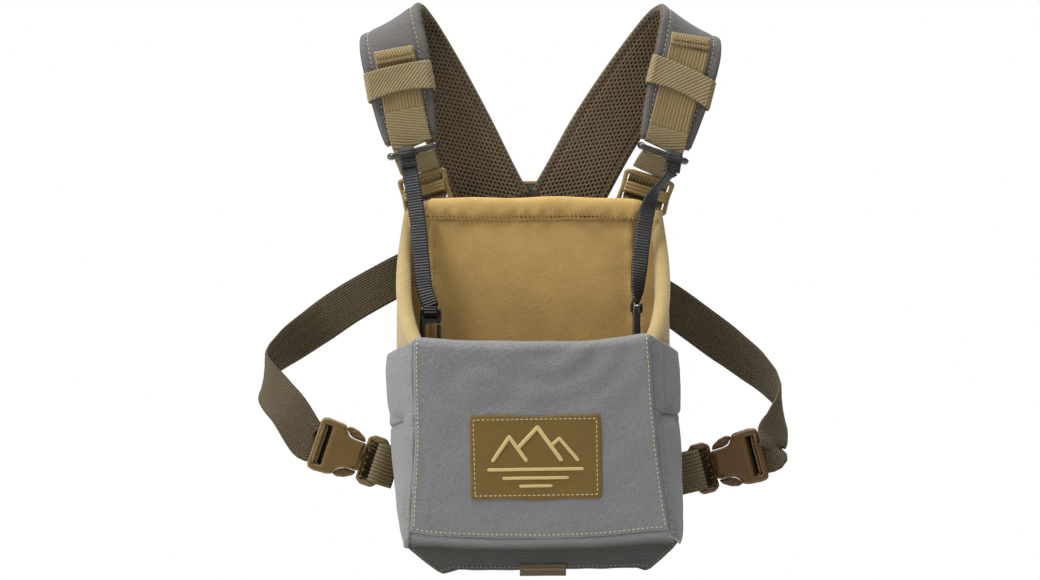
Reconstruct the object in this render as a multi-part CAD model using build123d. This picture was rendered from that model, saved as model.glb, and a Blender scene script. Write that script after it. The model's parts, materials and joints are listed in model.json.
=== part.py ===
from build123d import *
import math
import os

# Binocular harness pack: a padded chest pouch on a four-strap harness, lid folded open over the pouch's front.
# Millimetres. +Z up, -Y away from the wearer, +X to the right as seen from in front of the wearer.
# Origin: centre of the chest pad's flat face, which lies against the wearer (y = 0).

# ---------------------------------------------------------------- driving dimensions
PACK_HALF_W = 72.0          # back panel half width
BULGE_HALF_W = 83.0         # side walls at their widest
BACK_TOP, BACK_BOT = 112.0, -109.6
CHEST_HALF_H, CHEST_HALF_W, CHEST_T = 99.0, 62.0, 3.8
BACK_Y0, BACK_Y1 = -10.0, -4.0
LINING_Y0 = -13.3
ROLL_Y0, ROLL_Z0, ROLL_Z1, ROLL_HALF_W = -17.0, 98.6, 113.0, 66.0
FRONT_Y0, FRONT_Y1 = -75.0, -70.0
FRONT_TOP, FRONT_BOT = 20.0, -92.0
RIM_TOP = 24.6
HINGE_Y, HINGE_Z = -76.0, 26.0      # lid hinge line at the front rim
LID_Y0, LID_Y1 = -80.0, -76.2
LID_TOP, LID_BOT = 24.4, -94.5
LID_TOP_HALF, LID_BOT_HALF = 72.0, 79.0
SEAM_GAP = 1.8                      # from a fold line to the solid beside it
WING_FOLD, WING_T = 64.0, 3.4       # side flaps lie folded back by this angle
WING_TOP_LEN, WING_BOT_LEN = 36.0, 24.0
END_FOLD, END_T, END_LEN = 45.0, 3.6, 33.0
END_HALF_0, END_HALF_1 = 77.0, 61.0
WEB_W, WEB_T = 25.0, 1.6            # harness webbing
TETHER_D = 4.6                      # tube with the section of a 10 mm x 1.7 mm tape
BUCKLE_Y = -34.0

os.makedirs("parts", exist_ok=True)
out = {}


def put(name, shape):
    solids = shape.solids()
    shape = solids[0] if len(solids) == 1 else Compound(children=solids)
    out[name] = shape
    export_step(shape, f"parts/{name}.step")


def box(x0, x1, y0, y1, z0, z1):
    return Pos((x0 + x1) / 2, (y0 + y1) / 2, (z0 + z1) / 2) * Box(x1 - x0, y1 - y0, z1 - z0)


def soften(shape, radius, pick=None):
    edges = pick(shape) if pick else shape.edges()
    try:
        return fillet(edges, radius)
    except Exception:
        return shape


def unit(v):
    return v / v.length


def frames(stations):
    """Each station is (x, y, z, width, roll): roll is the angle of the band's width direction above +X in the XZ plane."""
    pts = [Vector(*s[:3]) for s in stations]
    made = []
    for i, s in enumerate(stations):
        a, b = pts[max(i - 1, 0)], pts[min(i + 1, len(pts) - 1)]
        t = unit(b - a)
        w = Vector(math.cos(math.radians(s[4])), s[5] if len(s) > 5 else 0.0, math.sin(math.radians(s[4])))
        w = unit(w - t * t.dot(w))
        made.append((pts[i], t, w, unit(t.cross(w)), s[3]))
    return made


def band(stations, thick, offset=0.0, width=None):
    wires = []
    for p, t, w, n, wd in frames(stations):
        wd = width or wd
        c = p + n * offset
        corners = [c - w * (wd / 2) - n * (thick / 2), c + w * (wd / 2) - n * (thick / 2),
                   c + w * (wd / 2) + n * (thick / 2), c - w * (wd / 2) + n * (thick / 2)]
        wires.append(Wire.make_polygon(corners, close=True))
    return Solid.make_loft(wires, ruled=True)


def yz_prism(points, x0, x1):
    """A prism of a (y, z) polygon along X."""
    face = Plane.YZ.offset(x0) * make_face(Polyline(*points, close=True))
    return extrude(face, x1 - x0)


# ---------------------------------------------------------------- pouch
back = box(-PACK_HALF_W, PACK_HALF_W, BACK_Y0, BACK_Y1, BACK_BOT, BACK_TOP)
back = soften(back, 14, lambda s: s.edges().filter_by(Axis.Y))
put("back_panel", back)
chest = box(-CHEST_HALF_W, CHEST_HALF_W, -CHEST_T, 0, -CHEST_HALF_H, CHEST_HALF_H)
put("chest_pad", soften(chest, 16, lambda s: s.edges().filter_by(Axis.Y)))
put("back_lining", box(-PACK_HALF_W + 1.0, PACK_HALF_W - 1.0, LINING_Y0, BACK_Y0 - 0.2, -100, ROLL_Z0 - 0.3))
roll = box(-ROLL_HALF_W, ROLL_HALF_W, ROLL_Y0, BACK_Y0 - 0.2, ROLL_Z0, ROLL_Z1)
roll = soften(roll, 2.6, lambda s: s.edges().filter_by(Axis.X))
strip = box(-48, 48, -14.6, -13.0, 102, 110)        # steel keeper strip sealed in the roll
put("top_roll", roll - strip)
put("roll_keeper_strip", strip)


def wall_plan(side):
    o = ThreePointArc((78.0, -4.0), (BULGE_HALF_W, -32.0), (73.0, -70.0))
    e = Line((73.0, -70.0), (66.0, -70.0))
    i = ThreePointArc((66.0, -70.0), (76.0, -34.0), (72.4, -10.2))
    b = Line((72.4, -10.2), (72.4, -4.0))
    c = Line((72.4, -4.0), (78.0, -4.0))
    f = make_face([o, e, i, b, c])
    return f if side > 0 else mirror(f, Plane.YZ)


def wall_profile():
    pts = Line((-4, 107), (-4, -111.5)), Line((-4, -111.5), (-70, -92.5)), Line((-70, -92.5), (-70, 23.5))
    rim = ThreePointArc((-70, 23.5), (-36, 57), (-4, 107))
    return Plane.YZ * make_face([*pts, rim])


for side, name in ((-1, "left"), (1, "right")):
    tall = extrude(Pos(0, 0, -120) * wall_plan(side), 240)
    prof = extrude(wall_profile(), 100 * side)
    put(f"side_wall_{name}", tall & prof)

put("front_wall", box(-70.0, 70.0, FRONT_Y0, FRONT_Y1 - 0.3, FRONT_BOT + 0.2, FRONT_TOP))
rim = box(-69.5, 69.5, FRONT_Y0, FRONT_Y1 - 0.3, FRONT_TOP + 0.1, RIM_TOP - 0.2)
put("front_rim", soften(rim, 1.8, lambda s: s.edges().filter_by(Axis.X)))
slab = yz_prism([(-75, -91.9), (-4, -112.3), (-4, -116.3), (-75, -95.9)], -90, 90)
foot = make_face([ThreePointArc((78, -4), (BULGE_HALF_W, -32), (72.5, -75)), Line((72.5, -75), (-72.5, -75)),
                  ThreePointArc((-72.5, -75), (-BULGE_HALF_W, -32), (-78, -4)), Line((-78, -4), (78, -4))])
put("bottom_panel", slab & extrude(Pos(0, 0, -130) * foot, 60))

# ---------------------------------------------------------------- lid: panel, end flap, two side flaps
k = math.tan(math.atan((LID_BOT_HALF - LID_TOP_HALF) / (LID_TOP - LID_BOT)))
lid_face = make_face(Polyline((-LID_TOP_HALF + SEAM_GAP, LID_TOP), (LID_TOP_HALF - SEAM_GAP, LID_TOP),
                              (LID_BOT_HALF - SEAM_GAP, LID_BOT), (-LID_BOT_HALF + SEAM_GAP, LID_BOT), close=True))
lid = extrude(Plane(origin=(0, LID_Y1, 0), x_dir=(1, 0, 0), z_dir=(0, -1, 0)) * lid_face, LID_Y1 - LID_Y0)
put("lid_panel", lid)
patch_c = (1.2, LID_Y0 - 0.1, -44.5)
patch = Plane(origin=patch_c, x_dir=(math.cos(math.radians(0.8)), 0, math.sin(math.radians(0.8))), z_dir=(0, -1, 0)) \
    * extrude(RectangleRounded(79, 50.5, 1.5), 1.3)
put("patch", patch)

# side flaps: a quadrilateral on the slanted seam, folded back by WING_FOLD
WING_Y = (LID_Y0 + LID_Y1) / 2
for side, name in ((-1, "left"), (1, "right")):
    top = Vector(side * LID_TOP_HALF, WING_Y, LID_TOP)
    bot = Vector(side * LID_BOT_HALF, WING_Y, LID_BOT)
    along = unit(bot - top)
    outward = Vector(side * math.cos(math.radians(WING_FOLD)), math.sin(math.radians(WING_FOLD)), 0)
    outward = unit(outward - along * along.dot(outward))
    pl = Plane(origin=top, x_dir=outward, z_dir=outward.cross(along) * -1)
    # local x runs away from the seam, local y runs down or up the seam
    sgn = 1 if pl.y_dir.dot(along) > 0 else -1
    seam_len = (bot - top).length
    quad = make_face(Polyline((SEAM_GAP, sgn * 4.0), (WING_TOP_LEN, sgn * 14.0), (WING_TOP_LEN, sgn * 60.0),
                              (WING_BOT_LEN + 3, sgn * (seam_len - 8)), (WING_BOT_LEN - 4, sgn * (seam_len - 3.0)),
                              (SEAM_GAP, sgn * (seam_len - 1.0)), close=True))
    put(f"lid_wing_{name}", extrude(pl * quad, WING_T / 2, both=True))

END_Y, END_Z = LID_Y0, LID_BOT - SEAM_GAP
cs, sn = math.cos(math.radians(END_FOLD)), math.sin(math.radians(END_FOLD))
end_dir = Vector(0, sn, -cs)
end_in = Vector(0, cs, sn)       # towards the pouch, across the flap's thickness
pl = Plane(origin=Vector(0, END_Y, END_Z), x_dir=(1, 0, 0), z_dir=end_in)
sgn = 1 if pl.y_dir.dot(end_dir) > 0 else -1
flap_face = make_face(Polyline((-END_HALF_0, sgn * SEAM_GAP), (END_HALF_0, sgn * SEAM_GAP), (END_HALF_0 - 1, sgn * 10),
                               (END_HALF_1 + 2, sgn * (END_LEN - 2)), (END_HALF_1 - 3, sgn * END_LEN),
                               (-END_HALF_1 + 3, sgn * END_LEN), (-END_HALF_1 - 2, sgn * (END_LEN - 2)),
                               (-END_HALF_0 + 1, sgn * 10), close=True))
flap = extrude(pl * flap_face, END_T)
for side, name in ((-1, "left"), (1, "right")):
    disc = pl * Pos(side * 32, sgn * 20, 1.0) * extrude(Circle(8.0), 1.6)
    flap = flap - disc
    put(f"lid_magnet_{name}", disc)
put("lid_end_flap", flap)
put("pull_tab", pl * Pos(5.5, sgn * (END_LEN - 6.0), -1.5) * extrude(Rectangle(28, 14), 1.4))

# ---------------------------------------------------------------- shoulder straps
# stations run from the pad's front end, up and over the shoulder, and down the back: x, y, z, width, roll of the width direction
PAD = {
    "left": [(-75.7, -4.0, 149.0, 31, 15.5), (-78.5, -4.5, 162.0, 35, 16.5), (-82.9, -4.2, 184.5, 41, 18.0),
             (-86.6, -2.2, 203.0, 41, 22.0), (-89.6, 3.0, 215.5, 40, 27.0), (-90.6, 10.0, 221.0, 40, 31.0),
             (-89.6, 17.0, 221.6, 40, 31.0), (-86.5, 24.0, 215.5, 41, 30.0), (-80.0, 27.5, 204.5, 42, 29.0),
             (-66.0, 28.0, 181.0, 42, 28.5), (-48.8, 25.5, 152.3, 42, 28.5), (-32.0, 20.5, 124.0, 42, 28.5),
             (-21.5, 17.2, 106.0, 42, 28.5)],
    "right": [(81.9, -4.0, 147.0, 31, -19.0), (85.9, -4.5, 161.5, 35, -22.0), (92.2, -4.2, 184.0, 41, -28.0),
              (97.0, -2.2, 202.0, 41, -30.0), (99.2, 3.0, 214.5, 40, -32.0), (98.8, 10.0, 220.0, 40, -33.0),
              (96.5, 17.0, 220.6, 40, -33.0), (92.0, 24.0, 216.0, 41, -32.0), (84.0, 27.5, 206.0, 42, -31.5),
              (66.0, 28.0, 181.5, 42, -31.0), (45.8, 25.5, 153.0, 42, -31.0), (29.0, 20.5, 126.0, 42, -31.0),
              (17.2, 17.2, 106.0, 42, -31.0)],
}
RING = {"left": ((-73.8, 141.2), 14.7), "right": ((80.1, 139.7), -19.8)}
for side, name in ((-1, "left"), (1, "right")):
    st = PAD[name]
    cut = box(0.2, 300, -60, 60, 0, 300) if side < 0 else box(-300, -0.2, -60, 60, 0, 300)
    put(f"shoulder_pad_{name}", band(st, 2.6, 0.0 - 1.45) - cut)
    put(f"shoulder_mesh_{name}", band(st, 2.6, 1.45) - cut)
    (rx, rz), ang = RING[name]
    # webbing sewn on the pad's face, from the bartack down to the tether ring
    p0, p1, p2, p3 = st[3], st[2], st[1], st[0]
    low = (rx, -7.8, rz + 3.0, WEB_W, ang)
    f = frames(st)
    lift = -3.95

    def on_pad(i, extra=0.0):
        p, t, w, n, _ = f[i]
        q = p + n * (lift + extra)
        return (q.X, q.Y, q.Z, WEB_W, st[i][4])

    web = [on_pad(3), on_pad(2), on_pad(1), on_pad(0), low]
    put(f"shoulder_web_{name}", band(web, WEB_T))
    p, t, w, n, _ = f[3]
    c = p + n * (lift - 1.65) - t * 3.0
    put(f"bartack_strip_{name}", Plane(origin=c, x_dir=w, z_dir=n) * Box(24, 8, 1.0))
    # elastic keeper round pad and webbing
    p, t, w, n, _ = f[2]
    c = p + n * (-1.0)
    ring = extrude(Plane(origin=c - t * 9.0, x_dir=w, z_dir=t) * RectangleRounded(47.0, 12.2, 3.0), 18.0) \
        - extrude(Plane(origin=c - t * 10.0, x_dir=w, z_dir=t) * RectangleRounded(44.6, 9.8, 1.8), 20.0)
    put(f"keeper_{name}", ring)
    # tether ring: a flat loop whose front bar crosses in front of the webbing
    pl = Plane(origin=(rx, -9.3, rz), x_dir=(math.cos(math.radians(ang)), 0, math.sin(math.radians(ang))), z_dir=(-math.sin(math.radians(ang)), 0, math.cos(math.radians(ang))))
    loop = extrude(pl * RectangleRounded(32.0, 12.4, 4.0), 1.5, both=True) - extrude(pl * RectangleRounded(26.2, 6.6, 1.4), 3, both=True)
    put(f"tether_ring_{name}", soften(loop, 0.9))

# ladder locks at the pouch's top corners, with the webbing above and the anchor webbing below
LOCK = {"left": ((-66.8, 4.3, 117.5), (0.925, -0.27, 0.255)), "right": ((69.6, 0.6, 116.4), (0.955, 0.03, -0.293))}
LOCK_W, LOCK_H, LOCK_T = 32.5, 22.0, 4.0
for name, (c, e) in LOCK.items():
    e = unit(Vector(*e))
    up = unit(Vector(0, 0, 1) - e * e.Z)
    nrm = e.cross(up)        # points to -Y
    pl = Plane(origin=Vector(*c), x_dir=e, z_dir=nrm)
    s = 1 if pl.y_dir.dot(up) > 0 else -1
    body = extrude(pl * RectangleRounded(LOCK_W, LOCK_H, 2.5), LOCK_T / 2, both=True)
    body = body - extrude(pl * Pos(0, s * 6.2) * Rectangle(26.6, 4.0), 4, both=True)      # upper slot
    body = body - extrude(pl * Pos(0, s * -5.6) * Rectangle(26.6, 4.4), 4, both=True)     # lower slot
    grip = extrude(pl * Pos(0, s * 0.3) * Rectangle(26.0, 6.0), LOCK_T / 2 + 1.2)
    put(f"ladder_lock_{name}", soften(body, 0.7, lambda q: q.edges().filter_by(GeomType.LINE)) + grip)
    (rx, rz), ang = RING[name]
    wa = math.degrees(math.atan2(e.Z, e.X))
    top = Vector(*c) + up * (LOCK_H / 2 + 1.0)
    mid = (rx * 0.5 + top.X * 0.5, -4.6 if name == "right" else -3.2, rz * 0.5 + top.Z * 0.5, WEB_W, (ang + wa) / 2, e.Y / 2)
    tilt = math.tan(math.radians(ang))
    web = [(rx + 2.2 * -tilt, -8.0, rz + 2.2, WEB_W, ang), (rx + 2.4 * tilt, -8.3, rz - 2.4, WEB_W, ang), mid,
           (top.X, top.Y, top.Z, WEB_W, wa, e.Y)]
    put(f"adjust_web_{name}", band(web, WEB_T))
    bot = Vector(*c) - up * (LOCK_H / 2 + 1.0)
    end = (-61.0 if name == "left" else 61.5, -2.5, 99.6, WEB_W, wa * 0.4, 0.0)
    start = (bot.X, bot.Y, bot.Z, WEB_W, wa, e.Y)
    half = ((start[0] + end[0]) / 2, start[1] * 0.55 - 0.6, (start[2] + end[2]) / 2 + 0.3, WEB_W, wa * 0.7, e.Y / 2)
    put(f"anchor_web_{name}", band([start, half, end], 1.3))

# ---------------------------------------------------------------- yoke and side straps
yoke = extrude(Plane(origin=(0, 23.6, 92), x_dir=(1, 0, 0), z_dir=(0, -1, 0)) * RectangleRounded(84, 62, 12), -3.5)
put("back_yoke", yoke)

BUCKLE = {"left": ((-86.3, -52.8), (-0.9477, 0.3192)), "right": ((92.0, -56.3), (0.9686, 0.2486))}
STRAP = {
    "left": [(-16.0, 22.3, 101.0, WEB_W, 61), (-39.2, 22.2, 88.8, WEB_W, 61), (-64.0, 19.4, 75.6, WEB_W, 61),
             (-85.4, 15.0, 63.9, WEB_W, 60), (-114.1, 14.0, 47.7, WEB_W, 58), (-136.0, 12.5, 32.5, WEB_W, 57),
             (-152.0, 8.0, 20.8, WEB_W, 62, 0.05), (-161.6, 0.5, 12.6, WEB_W, 74, 0.0), (-165.2, -8.5, 6.4, WEB_W, 84, 0.0),
             (-163.6, -18.0, -0.6, WEB_W, 80, 0.05), (-157.4, -26.0, -9.0, WEB_W, 68, 0.05), (-149.0, -31.4, -18.6, WEB_W, 62, 0.0)],
    "right": [(14.0, 22.3, 99.5, WEB_W, 119), (35.5, 22.2, 83.4, WEB_W, 121), (60.5, 19.4, 64.9, WEB_W, 123),
              (83.0, 15.0, 48.9, WEB_W, 124), (104.3, 14.0, 33.3, WEB_W, 124), (124.0, 12.5, 18.6, WEB_W, 124),
              (139.0, 8.0, 6.6, WEB_W, 118, 0.05), (148.6, 0.5, -3.2, WEB_W, 106, 0.0), (152.6, -8.5, -11.6, WEB_W, 97, 0.0),
              (152.4, -18.0, -19.8, WEB_W, 97, 0.05), (149.6, -26.0, -28.4, WEB_W, 100, 0.05), (145.8, -31.2, -35.8, WEB_W, 104, 0.0)],
}
B_MALE0, B_MALE1, B_FEM0, B_FEM1 = 6.0, 18.9, 19.3, 50.0
for side, name in ((-1, "left"), (1, "right")):
    (bx, bz), (dx, dz) = BUCKLE[name]
    u = Vector(dx, 0, dz)
    v = Vector(-dz * side, 0, dx * side)      # up across the webbing
    o = Vector(bx, BUCKLE_Y, bz)
    pl = Plane(origin=o, x_dir=u, z_dir=u.cross(v))

    def ub(u0, u1, v0, v1, t0, t1, pl=pl):
        return pl * box(u0, u1, v0, v1, t0, t1)

    # latch half with its guide tongue
    male = soften(ub(B_MALE0, B_MALE1, -15.2, 15.2, -4.3, 4.3), 1.6)
    male = male - ub(10.4, 14.6, -12.9, 12.9, -9, 9)
    male = male + ub(B_MALE1 - 1.0, 37.0, -2.4, 2.4, -2.4, 2.4)
    put(f"buckle_latch_{name}", male)
    fem = ub(B_FEM0, B_FEM1, -16.8, 16.8, -5.4, 5.4)
    fem = soften(fem, 2.2)
    fem = fem - ub(B_FEM0 - 3, 40.0, -13.0, 13.0, -3.4, 3.4)
    fem = fem - ub(27.0, 37.6, -20, 20, -3.9, 3.9)
    fem = fem - ub(42.6, 46.4, -12.9, 12.9, -9, 9)
    put(f"buckle_body_{name}", fem)
    for sv, part in ((1, "upper"), (-1, "lower")):
        a0, a1 = sorted((sv * 8.6, sv * 12.0))
        t0, t1 = sorted((sv * 11.0, sv * 16.4))
        arm = ub(19.6, 36.4, a0, a1, -2.9, 2.9) + ub(28.2, 36.4, t0, t1, -2.9, 2.9)
        put(f"prong_{part}_{name}", arm)
    stub = band([(side * 83.35, BUCKLE_Y, o.Z + (side * 83.35 - o.X) * (dz / dx), WEB_W, 90 - side * math.degrees(math.atan2(dz, abs(dx))) * 1.0),
                 ((o + u * B_MALE0).X, BUCKLE_Y, (o + u * B_MALE0).Z, WEB_W, 90 - side * math.degrees(math.atan2(dz, abs(dx))))], WEB_T)
    put(f"stub_web_{name}", stub)
    e = o + u * (B_FEM1 + 0.05)
    e0 = o + u * (B_FEM1 + 5.0)
    roll = 90 - side * math.degrees(math.atan2(dz, abs(dx)))
    roll = math.degrees(math.atan2(v.Z, v.X))
    st = STRAP[name] + [(e0.X, BUCKLE_Y + 0.4, e0.Z, WEB_W, roll), (e.X, BUCKLE_Y, e.Z, WEB_W, roll)]
    put(f"side_strap_{name}", band(st, WEB_T))

# ---------------------------------------------------------------- tethers
TETHER = {
    "left": [(-76.2, -15.2, 131.0), (-75.2, -16.3, 125.2), (-72.7, -19.4, 111.5), (-70.9, -22.6, 98.5), (-69.4, -25.6, 83.0),
             (-68.0, -28.6, 68.5), (-66.9, -31.4, 58.0), (-64.7, -33.4, 50.6), (-62.6, -34.4, 45.2)],
    "right": [(85.6, -15.2, 129.6), (82.2, -16.0, 125.0), (76.4, -17.6, 118.6), (71.6, -19.9, 110.0), (69.0, -22.0, 100.0),
              (67.2, -24.6, 88.0), (65.7, -27.4, 75.0), (64.5, -30.2, 64.0), (63.5, -32.6, 54.5), (63.2, -33.8, 47.2)],
}
LOOP_AT = {"left": -4.3, "right": 7.2}       # along the ring from its middle
CLIP_TOP = {"left": 45.2, "right": 47.2}
for side, name in ((-1, "left"), (1, "right")):
    pts = [Vector(*p) for p in TETHER[name]]
    runs = [(b - a) for a, b in zip(pts, pts[1:])]
    radii = []
    for a, b in zip(runs, runs[1:]):
        turn = math.radians(a.get_angle(b))
        radii.append(min(0.45 * min(a.length, b.length) / math.tan(turn / 2), 2000.0))
    print(f"tether_{name} runs", [round(r.length, 1) for r in runs], "radii", [round(r, 1) for r in radii])
    line = FilletPolyline(*TETHER[name], radius=radii)
    tube = sweep(Plane(origin=line @ 0, z_dir=line % 0) * Circle(TETHER_D / 2), path=line)
    print(f"tether_{name} length {line.length:.1f} volume {tube.volume:.0f} section x length {math.pi * TETHER_D ** 2 / 4 * line.length:.0f}")
    put(f"tether_{name}", tube)
    (rx, rz), ang = RING[name]
    e = Vector(math.cos(math.radians(ang)), 0, math.sin(math.radians(ang)))
    c = Vector(rx, -14.05, rz) + e * LOOP_AT[name]
    # sewn loop round the ring's front bar, and its doubled stem
    pl = Plane(origin=c - e * 5.0, x_dir=(0, 1, 0), z_dir=e)
    eye = extrude(pl * (Circle(4.6) - Circle(2.3)), 10.0)
    stem_dir = unit(pts[0] - c)
    stem = Plane(origin=pts[0] - stem_dir * 3.4, x_dir=e, z_dir=stem_dir) * Pos(0, 0, 1.7) * Box(10.0, 4.8, 3.4)
    hole = extrude(pl * Circle(2.3), 30, both=True)
    loop = (eye + (stem - hole))
    if len(loop.solids()) > 1:
        stem = Plane(origin=pts[0] - stem_dir * 5.5, x_dir=e, z_dir=stem_dir) * Pos(0, 0, 2.75) * Box(10.0, 4.8, 5.5)
        loop = eye + (stem - hole)
    put(f"tether_loop_{name}", loop)
    # snap clip, hanging straight down; the left one faces forward and the right one is turned edge-on
    ex, ey, _ = TETHER[name][-1]
    turn = 0 if side < 0 else 90
    loc = Pos(ex, ey, CLIP_TOP[name]) * Rot(0, 0, turn)
    plate = extrude(Plane.XZ * Pos(0, -13.5) * RectangleRounded(13.0, 27.0, 5.0), 2.3, both=True)
    plate = plate - extrude(Plane.XZ * Pos(0, -4.6) * Rectangle(9.4, 2.8), 9, both=True)          # eye for the tape
    plate = plate - extrude(Plane.XZ * Pos(0, -16.6) * RectangleRounded(7.0, 14.4, 3.0), 9, both=True)  # hook's inside
    gate_cut = Pos(5.2, 0, -15.2) * Box(4.4, 12, 10.4)
    plate = plate - gate_cut
    gate = Pos(5.0, 0, -15.2) * Box(2.4, 3.4, 9.6)
    put(f"clip_{name}", loc * soften(plate, 0.6, lambda q: q.edges().filter_by(GeomType.CIRCLE)))
    put(f"clip_gate_{name}", loc * gate)

print(len(out), "nodes")
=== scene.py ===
import bpy, bmesh, math, json
import numpy as np
from mathutils import Vector, Matrix

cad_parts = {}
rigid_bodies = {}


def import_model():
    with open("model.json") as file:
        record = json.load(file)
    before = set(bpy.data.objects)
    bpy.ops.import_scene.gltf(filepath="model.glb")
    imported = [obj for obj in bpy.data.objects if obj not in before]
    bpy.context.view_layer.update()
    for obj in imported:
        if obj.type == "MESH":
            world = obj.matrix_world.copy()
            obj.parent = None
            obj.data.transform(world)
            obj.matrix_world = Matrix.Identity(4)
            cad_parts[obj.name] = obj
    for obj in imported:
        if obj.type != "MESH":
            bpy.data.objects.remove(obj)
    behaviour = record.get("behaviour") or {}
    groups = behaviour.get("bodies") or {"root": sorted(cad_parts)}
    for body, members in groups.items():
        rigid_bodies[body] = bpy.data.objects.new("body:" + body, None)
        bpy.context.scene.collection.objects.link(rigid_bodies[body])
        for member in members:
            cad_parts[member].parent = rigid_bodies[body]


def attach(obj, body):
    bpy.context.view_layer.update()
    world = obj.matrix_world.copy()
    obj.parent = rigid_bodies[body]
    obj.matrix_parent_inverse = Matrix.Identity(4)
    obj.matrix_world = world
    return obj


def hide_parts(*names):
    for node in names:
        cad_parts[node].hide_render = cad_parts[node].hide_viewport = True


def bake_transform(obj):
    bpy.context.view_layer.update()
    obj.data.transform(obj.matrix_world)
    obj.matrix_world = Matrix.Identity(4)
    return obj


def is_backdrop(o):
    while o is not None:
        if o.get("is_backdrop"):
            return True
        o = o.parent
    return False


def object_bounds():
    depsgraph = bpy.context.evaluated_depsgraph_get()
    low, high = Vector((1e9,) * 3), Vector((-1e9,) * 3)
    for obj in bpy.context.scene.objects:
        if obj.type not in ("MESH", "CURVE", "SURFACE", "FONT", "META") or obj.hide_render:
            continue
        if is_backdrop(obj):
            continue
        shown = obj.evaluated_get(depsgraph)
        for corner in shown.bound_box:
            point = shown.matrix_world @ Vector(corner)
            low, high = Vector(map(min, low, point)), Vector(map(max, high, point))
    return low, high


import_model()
cad_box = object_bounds()
scene = bpy.context.scene
MM = 0.001

# ------------------------------------------------------------------ camera: level, straight at the front, long lens
cam_data = bpy.data.cameras.new("camera")
cam = bpy.data.objects.new("camera", cam_data)
scene.collection.objects.link(cam)
cam.location = (-0.00806, -2.5, 0.0558)
cam.rotation_euler = (math.pi / 2, 0, 0)
cam_data.sensor_width = 36.0
cam_data.lens = 36.0 * 2.5 / 0.6448
cam_data.clip_start, cam_data.clip_end = 0.05, 30.0
scene.camera = cam
scene.view_settings.view_transform = "Standard"
scene.view_settings.look = "None"


# ------------------------------------------------------------------ material helpers
class Nodes:
    """A principled material with a few shorthand calls."""

    def __init__(self, name, base, rough=0.85, **sockets):
        self.mat = bpy.data.materials.new(name)
        self.mat.use_nodes = True
        self.mat.diffuse_color = (*base, 1)
        self.t = self.mat.node_tree
        self.bsdf = self.t.nodes["Principled BSDF"]
        self.bsdf.inputs["Base Color"].default_value = (*base, 1)
        self.bsdf.inputs["Roughness"].default_value = rough
        for k, v in sockets.items():
            self.bsdf.inputs[k.replace("_", " ")].default_value = v
        self.base = base

    def node(self, kind, **props):
        n = self.t.nodes.new(kind)
        for k, v in props.items():
            setattr(n, k, v)
        return n

    def put(self, socket, value):
        if isinstance(value, (int, float)):
            socket.default_value = value
        elif isinstance(value, (tuple, list)):
            socket.default_value = value
        else:
            self.t.links.new(value, socket)

    def m(self, op, a, b=None, c=None, clamp=False):
        n = self.node("ShaderNodeMath", operation=op, use_clamp=clamp)
        for i, v in enumerate((a, b, c)):
            if v is not None:
                self.put(n.inputs[i], v)
        return n.outputs[0]

    def uv(self):
        if not hasattr(self, "_uv"):
            n = self.node("ShaderNodeUVMap", uv_map="UVMap")
            s = self.node("ShaderNodeSeparateXYZ")
            self.t.links.new(n.outputs[0], s.inputs[0])
            self._uv = (s.outputs[0], s.outputs[1])
        return self._uv

    def noise(self, scale, detail=2.0, rough=0.5, stretch=None, w=0.0):
        co = self.node("ShaderNodeTexCoord").outputs["Object"]
        if stretch or w:
            mp = self.node("ShaderNodeMapping")
            mp.inputs["Scale"].default_value = stretch or (1, 1, 1)
            mp.inputs["Location"].default_value = (w, w * 0.7, -w)
            self.t.links.new(co, mp.inputs[0])
            co = mp.outputs[0]
        n = self.node("ShaderNodeTexNoise")
        n.inputs["Scale"].default_value = scale
        n.inputs["Detail"].default_value = detail
        n.inputs["Roughness"].default_value = rough
        self.t.links.new(co, n.inputs["Vector"])
        return n.outputs[0]

    def ramp(self, value, stops):
        n = self.node("ShaderNodeValToRGB")
        e = n.color_ramp.elements
        while len(e) < len(stops):
            e.new(0.5)
        for el, (p, c) in zip(e, stops):
            el.position = p
            el.color = (*c, 1) if len(c) == 3 else c
        self.put(n.inputs[0], value)
        return n.outputs[0]

    def mix(self, fac, a, b, blend="MIX"):
        n = self.node("ShaderNodeMix", data_type="RGBA", blend_type=blend)
        self.put(n.inputs[0], fac)
        for s, v in ((6, a), (7, b)):
            if isinstance(v, tuple) and len(v) == 3:
                v = (*v, 1)
            self.put(n.inputs[s], v)
        return n.outputs[2]

    def sine(self, x, period, phase=0.0):
        """0..1 ridges of x, in millimetres."""
        a = self.m("MULTIPLY", x, 2 * math.pi / period)
        if not isinstance(phase, (int, float)) or phase:
            a = self.m("ADD", a, phase)
        return self.m("MULTIPLY_ADD", self.m("SINE", a), 0.5, 0.5)

    def finish(self, color=None, height=None, bump=0.3, dist=0.0004, rough=None):
        if color is not None:
            self.put(self.bsdf.inputs["Base Color"], color)
        if rough is not None:
            self.put(self.bsdf.inputs["Roughness"], rough)
        if height is not None:
            b = self.node("ShaderNodeBump")
            b.inputs["Strength"].default_value = bump
            b.inputs["Distance"].default_value = dist
            self.t.links.new(height, b.inputs["Height"])
            self.t.links.new(b.outputs[0], self.bsdf.inputs["Normal"])
        return self.mat


def tone(c, k):
    return tuple(max(0.0, min(1.0, x * k)) for x in c)


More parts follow.
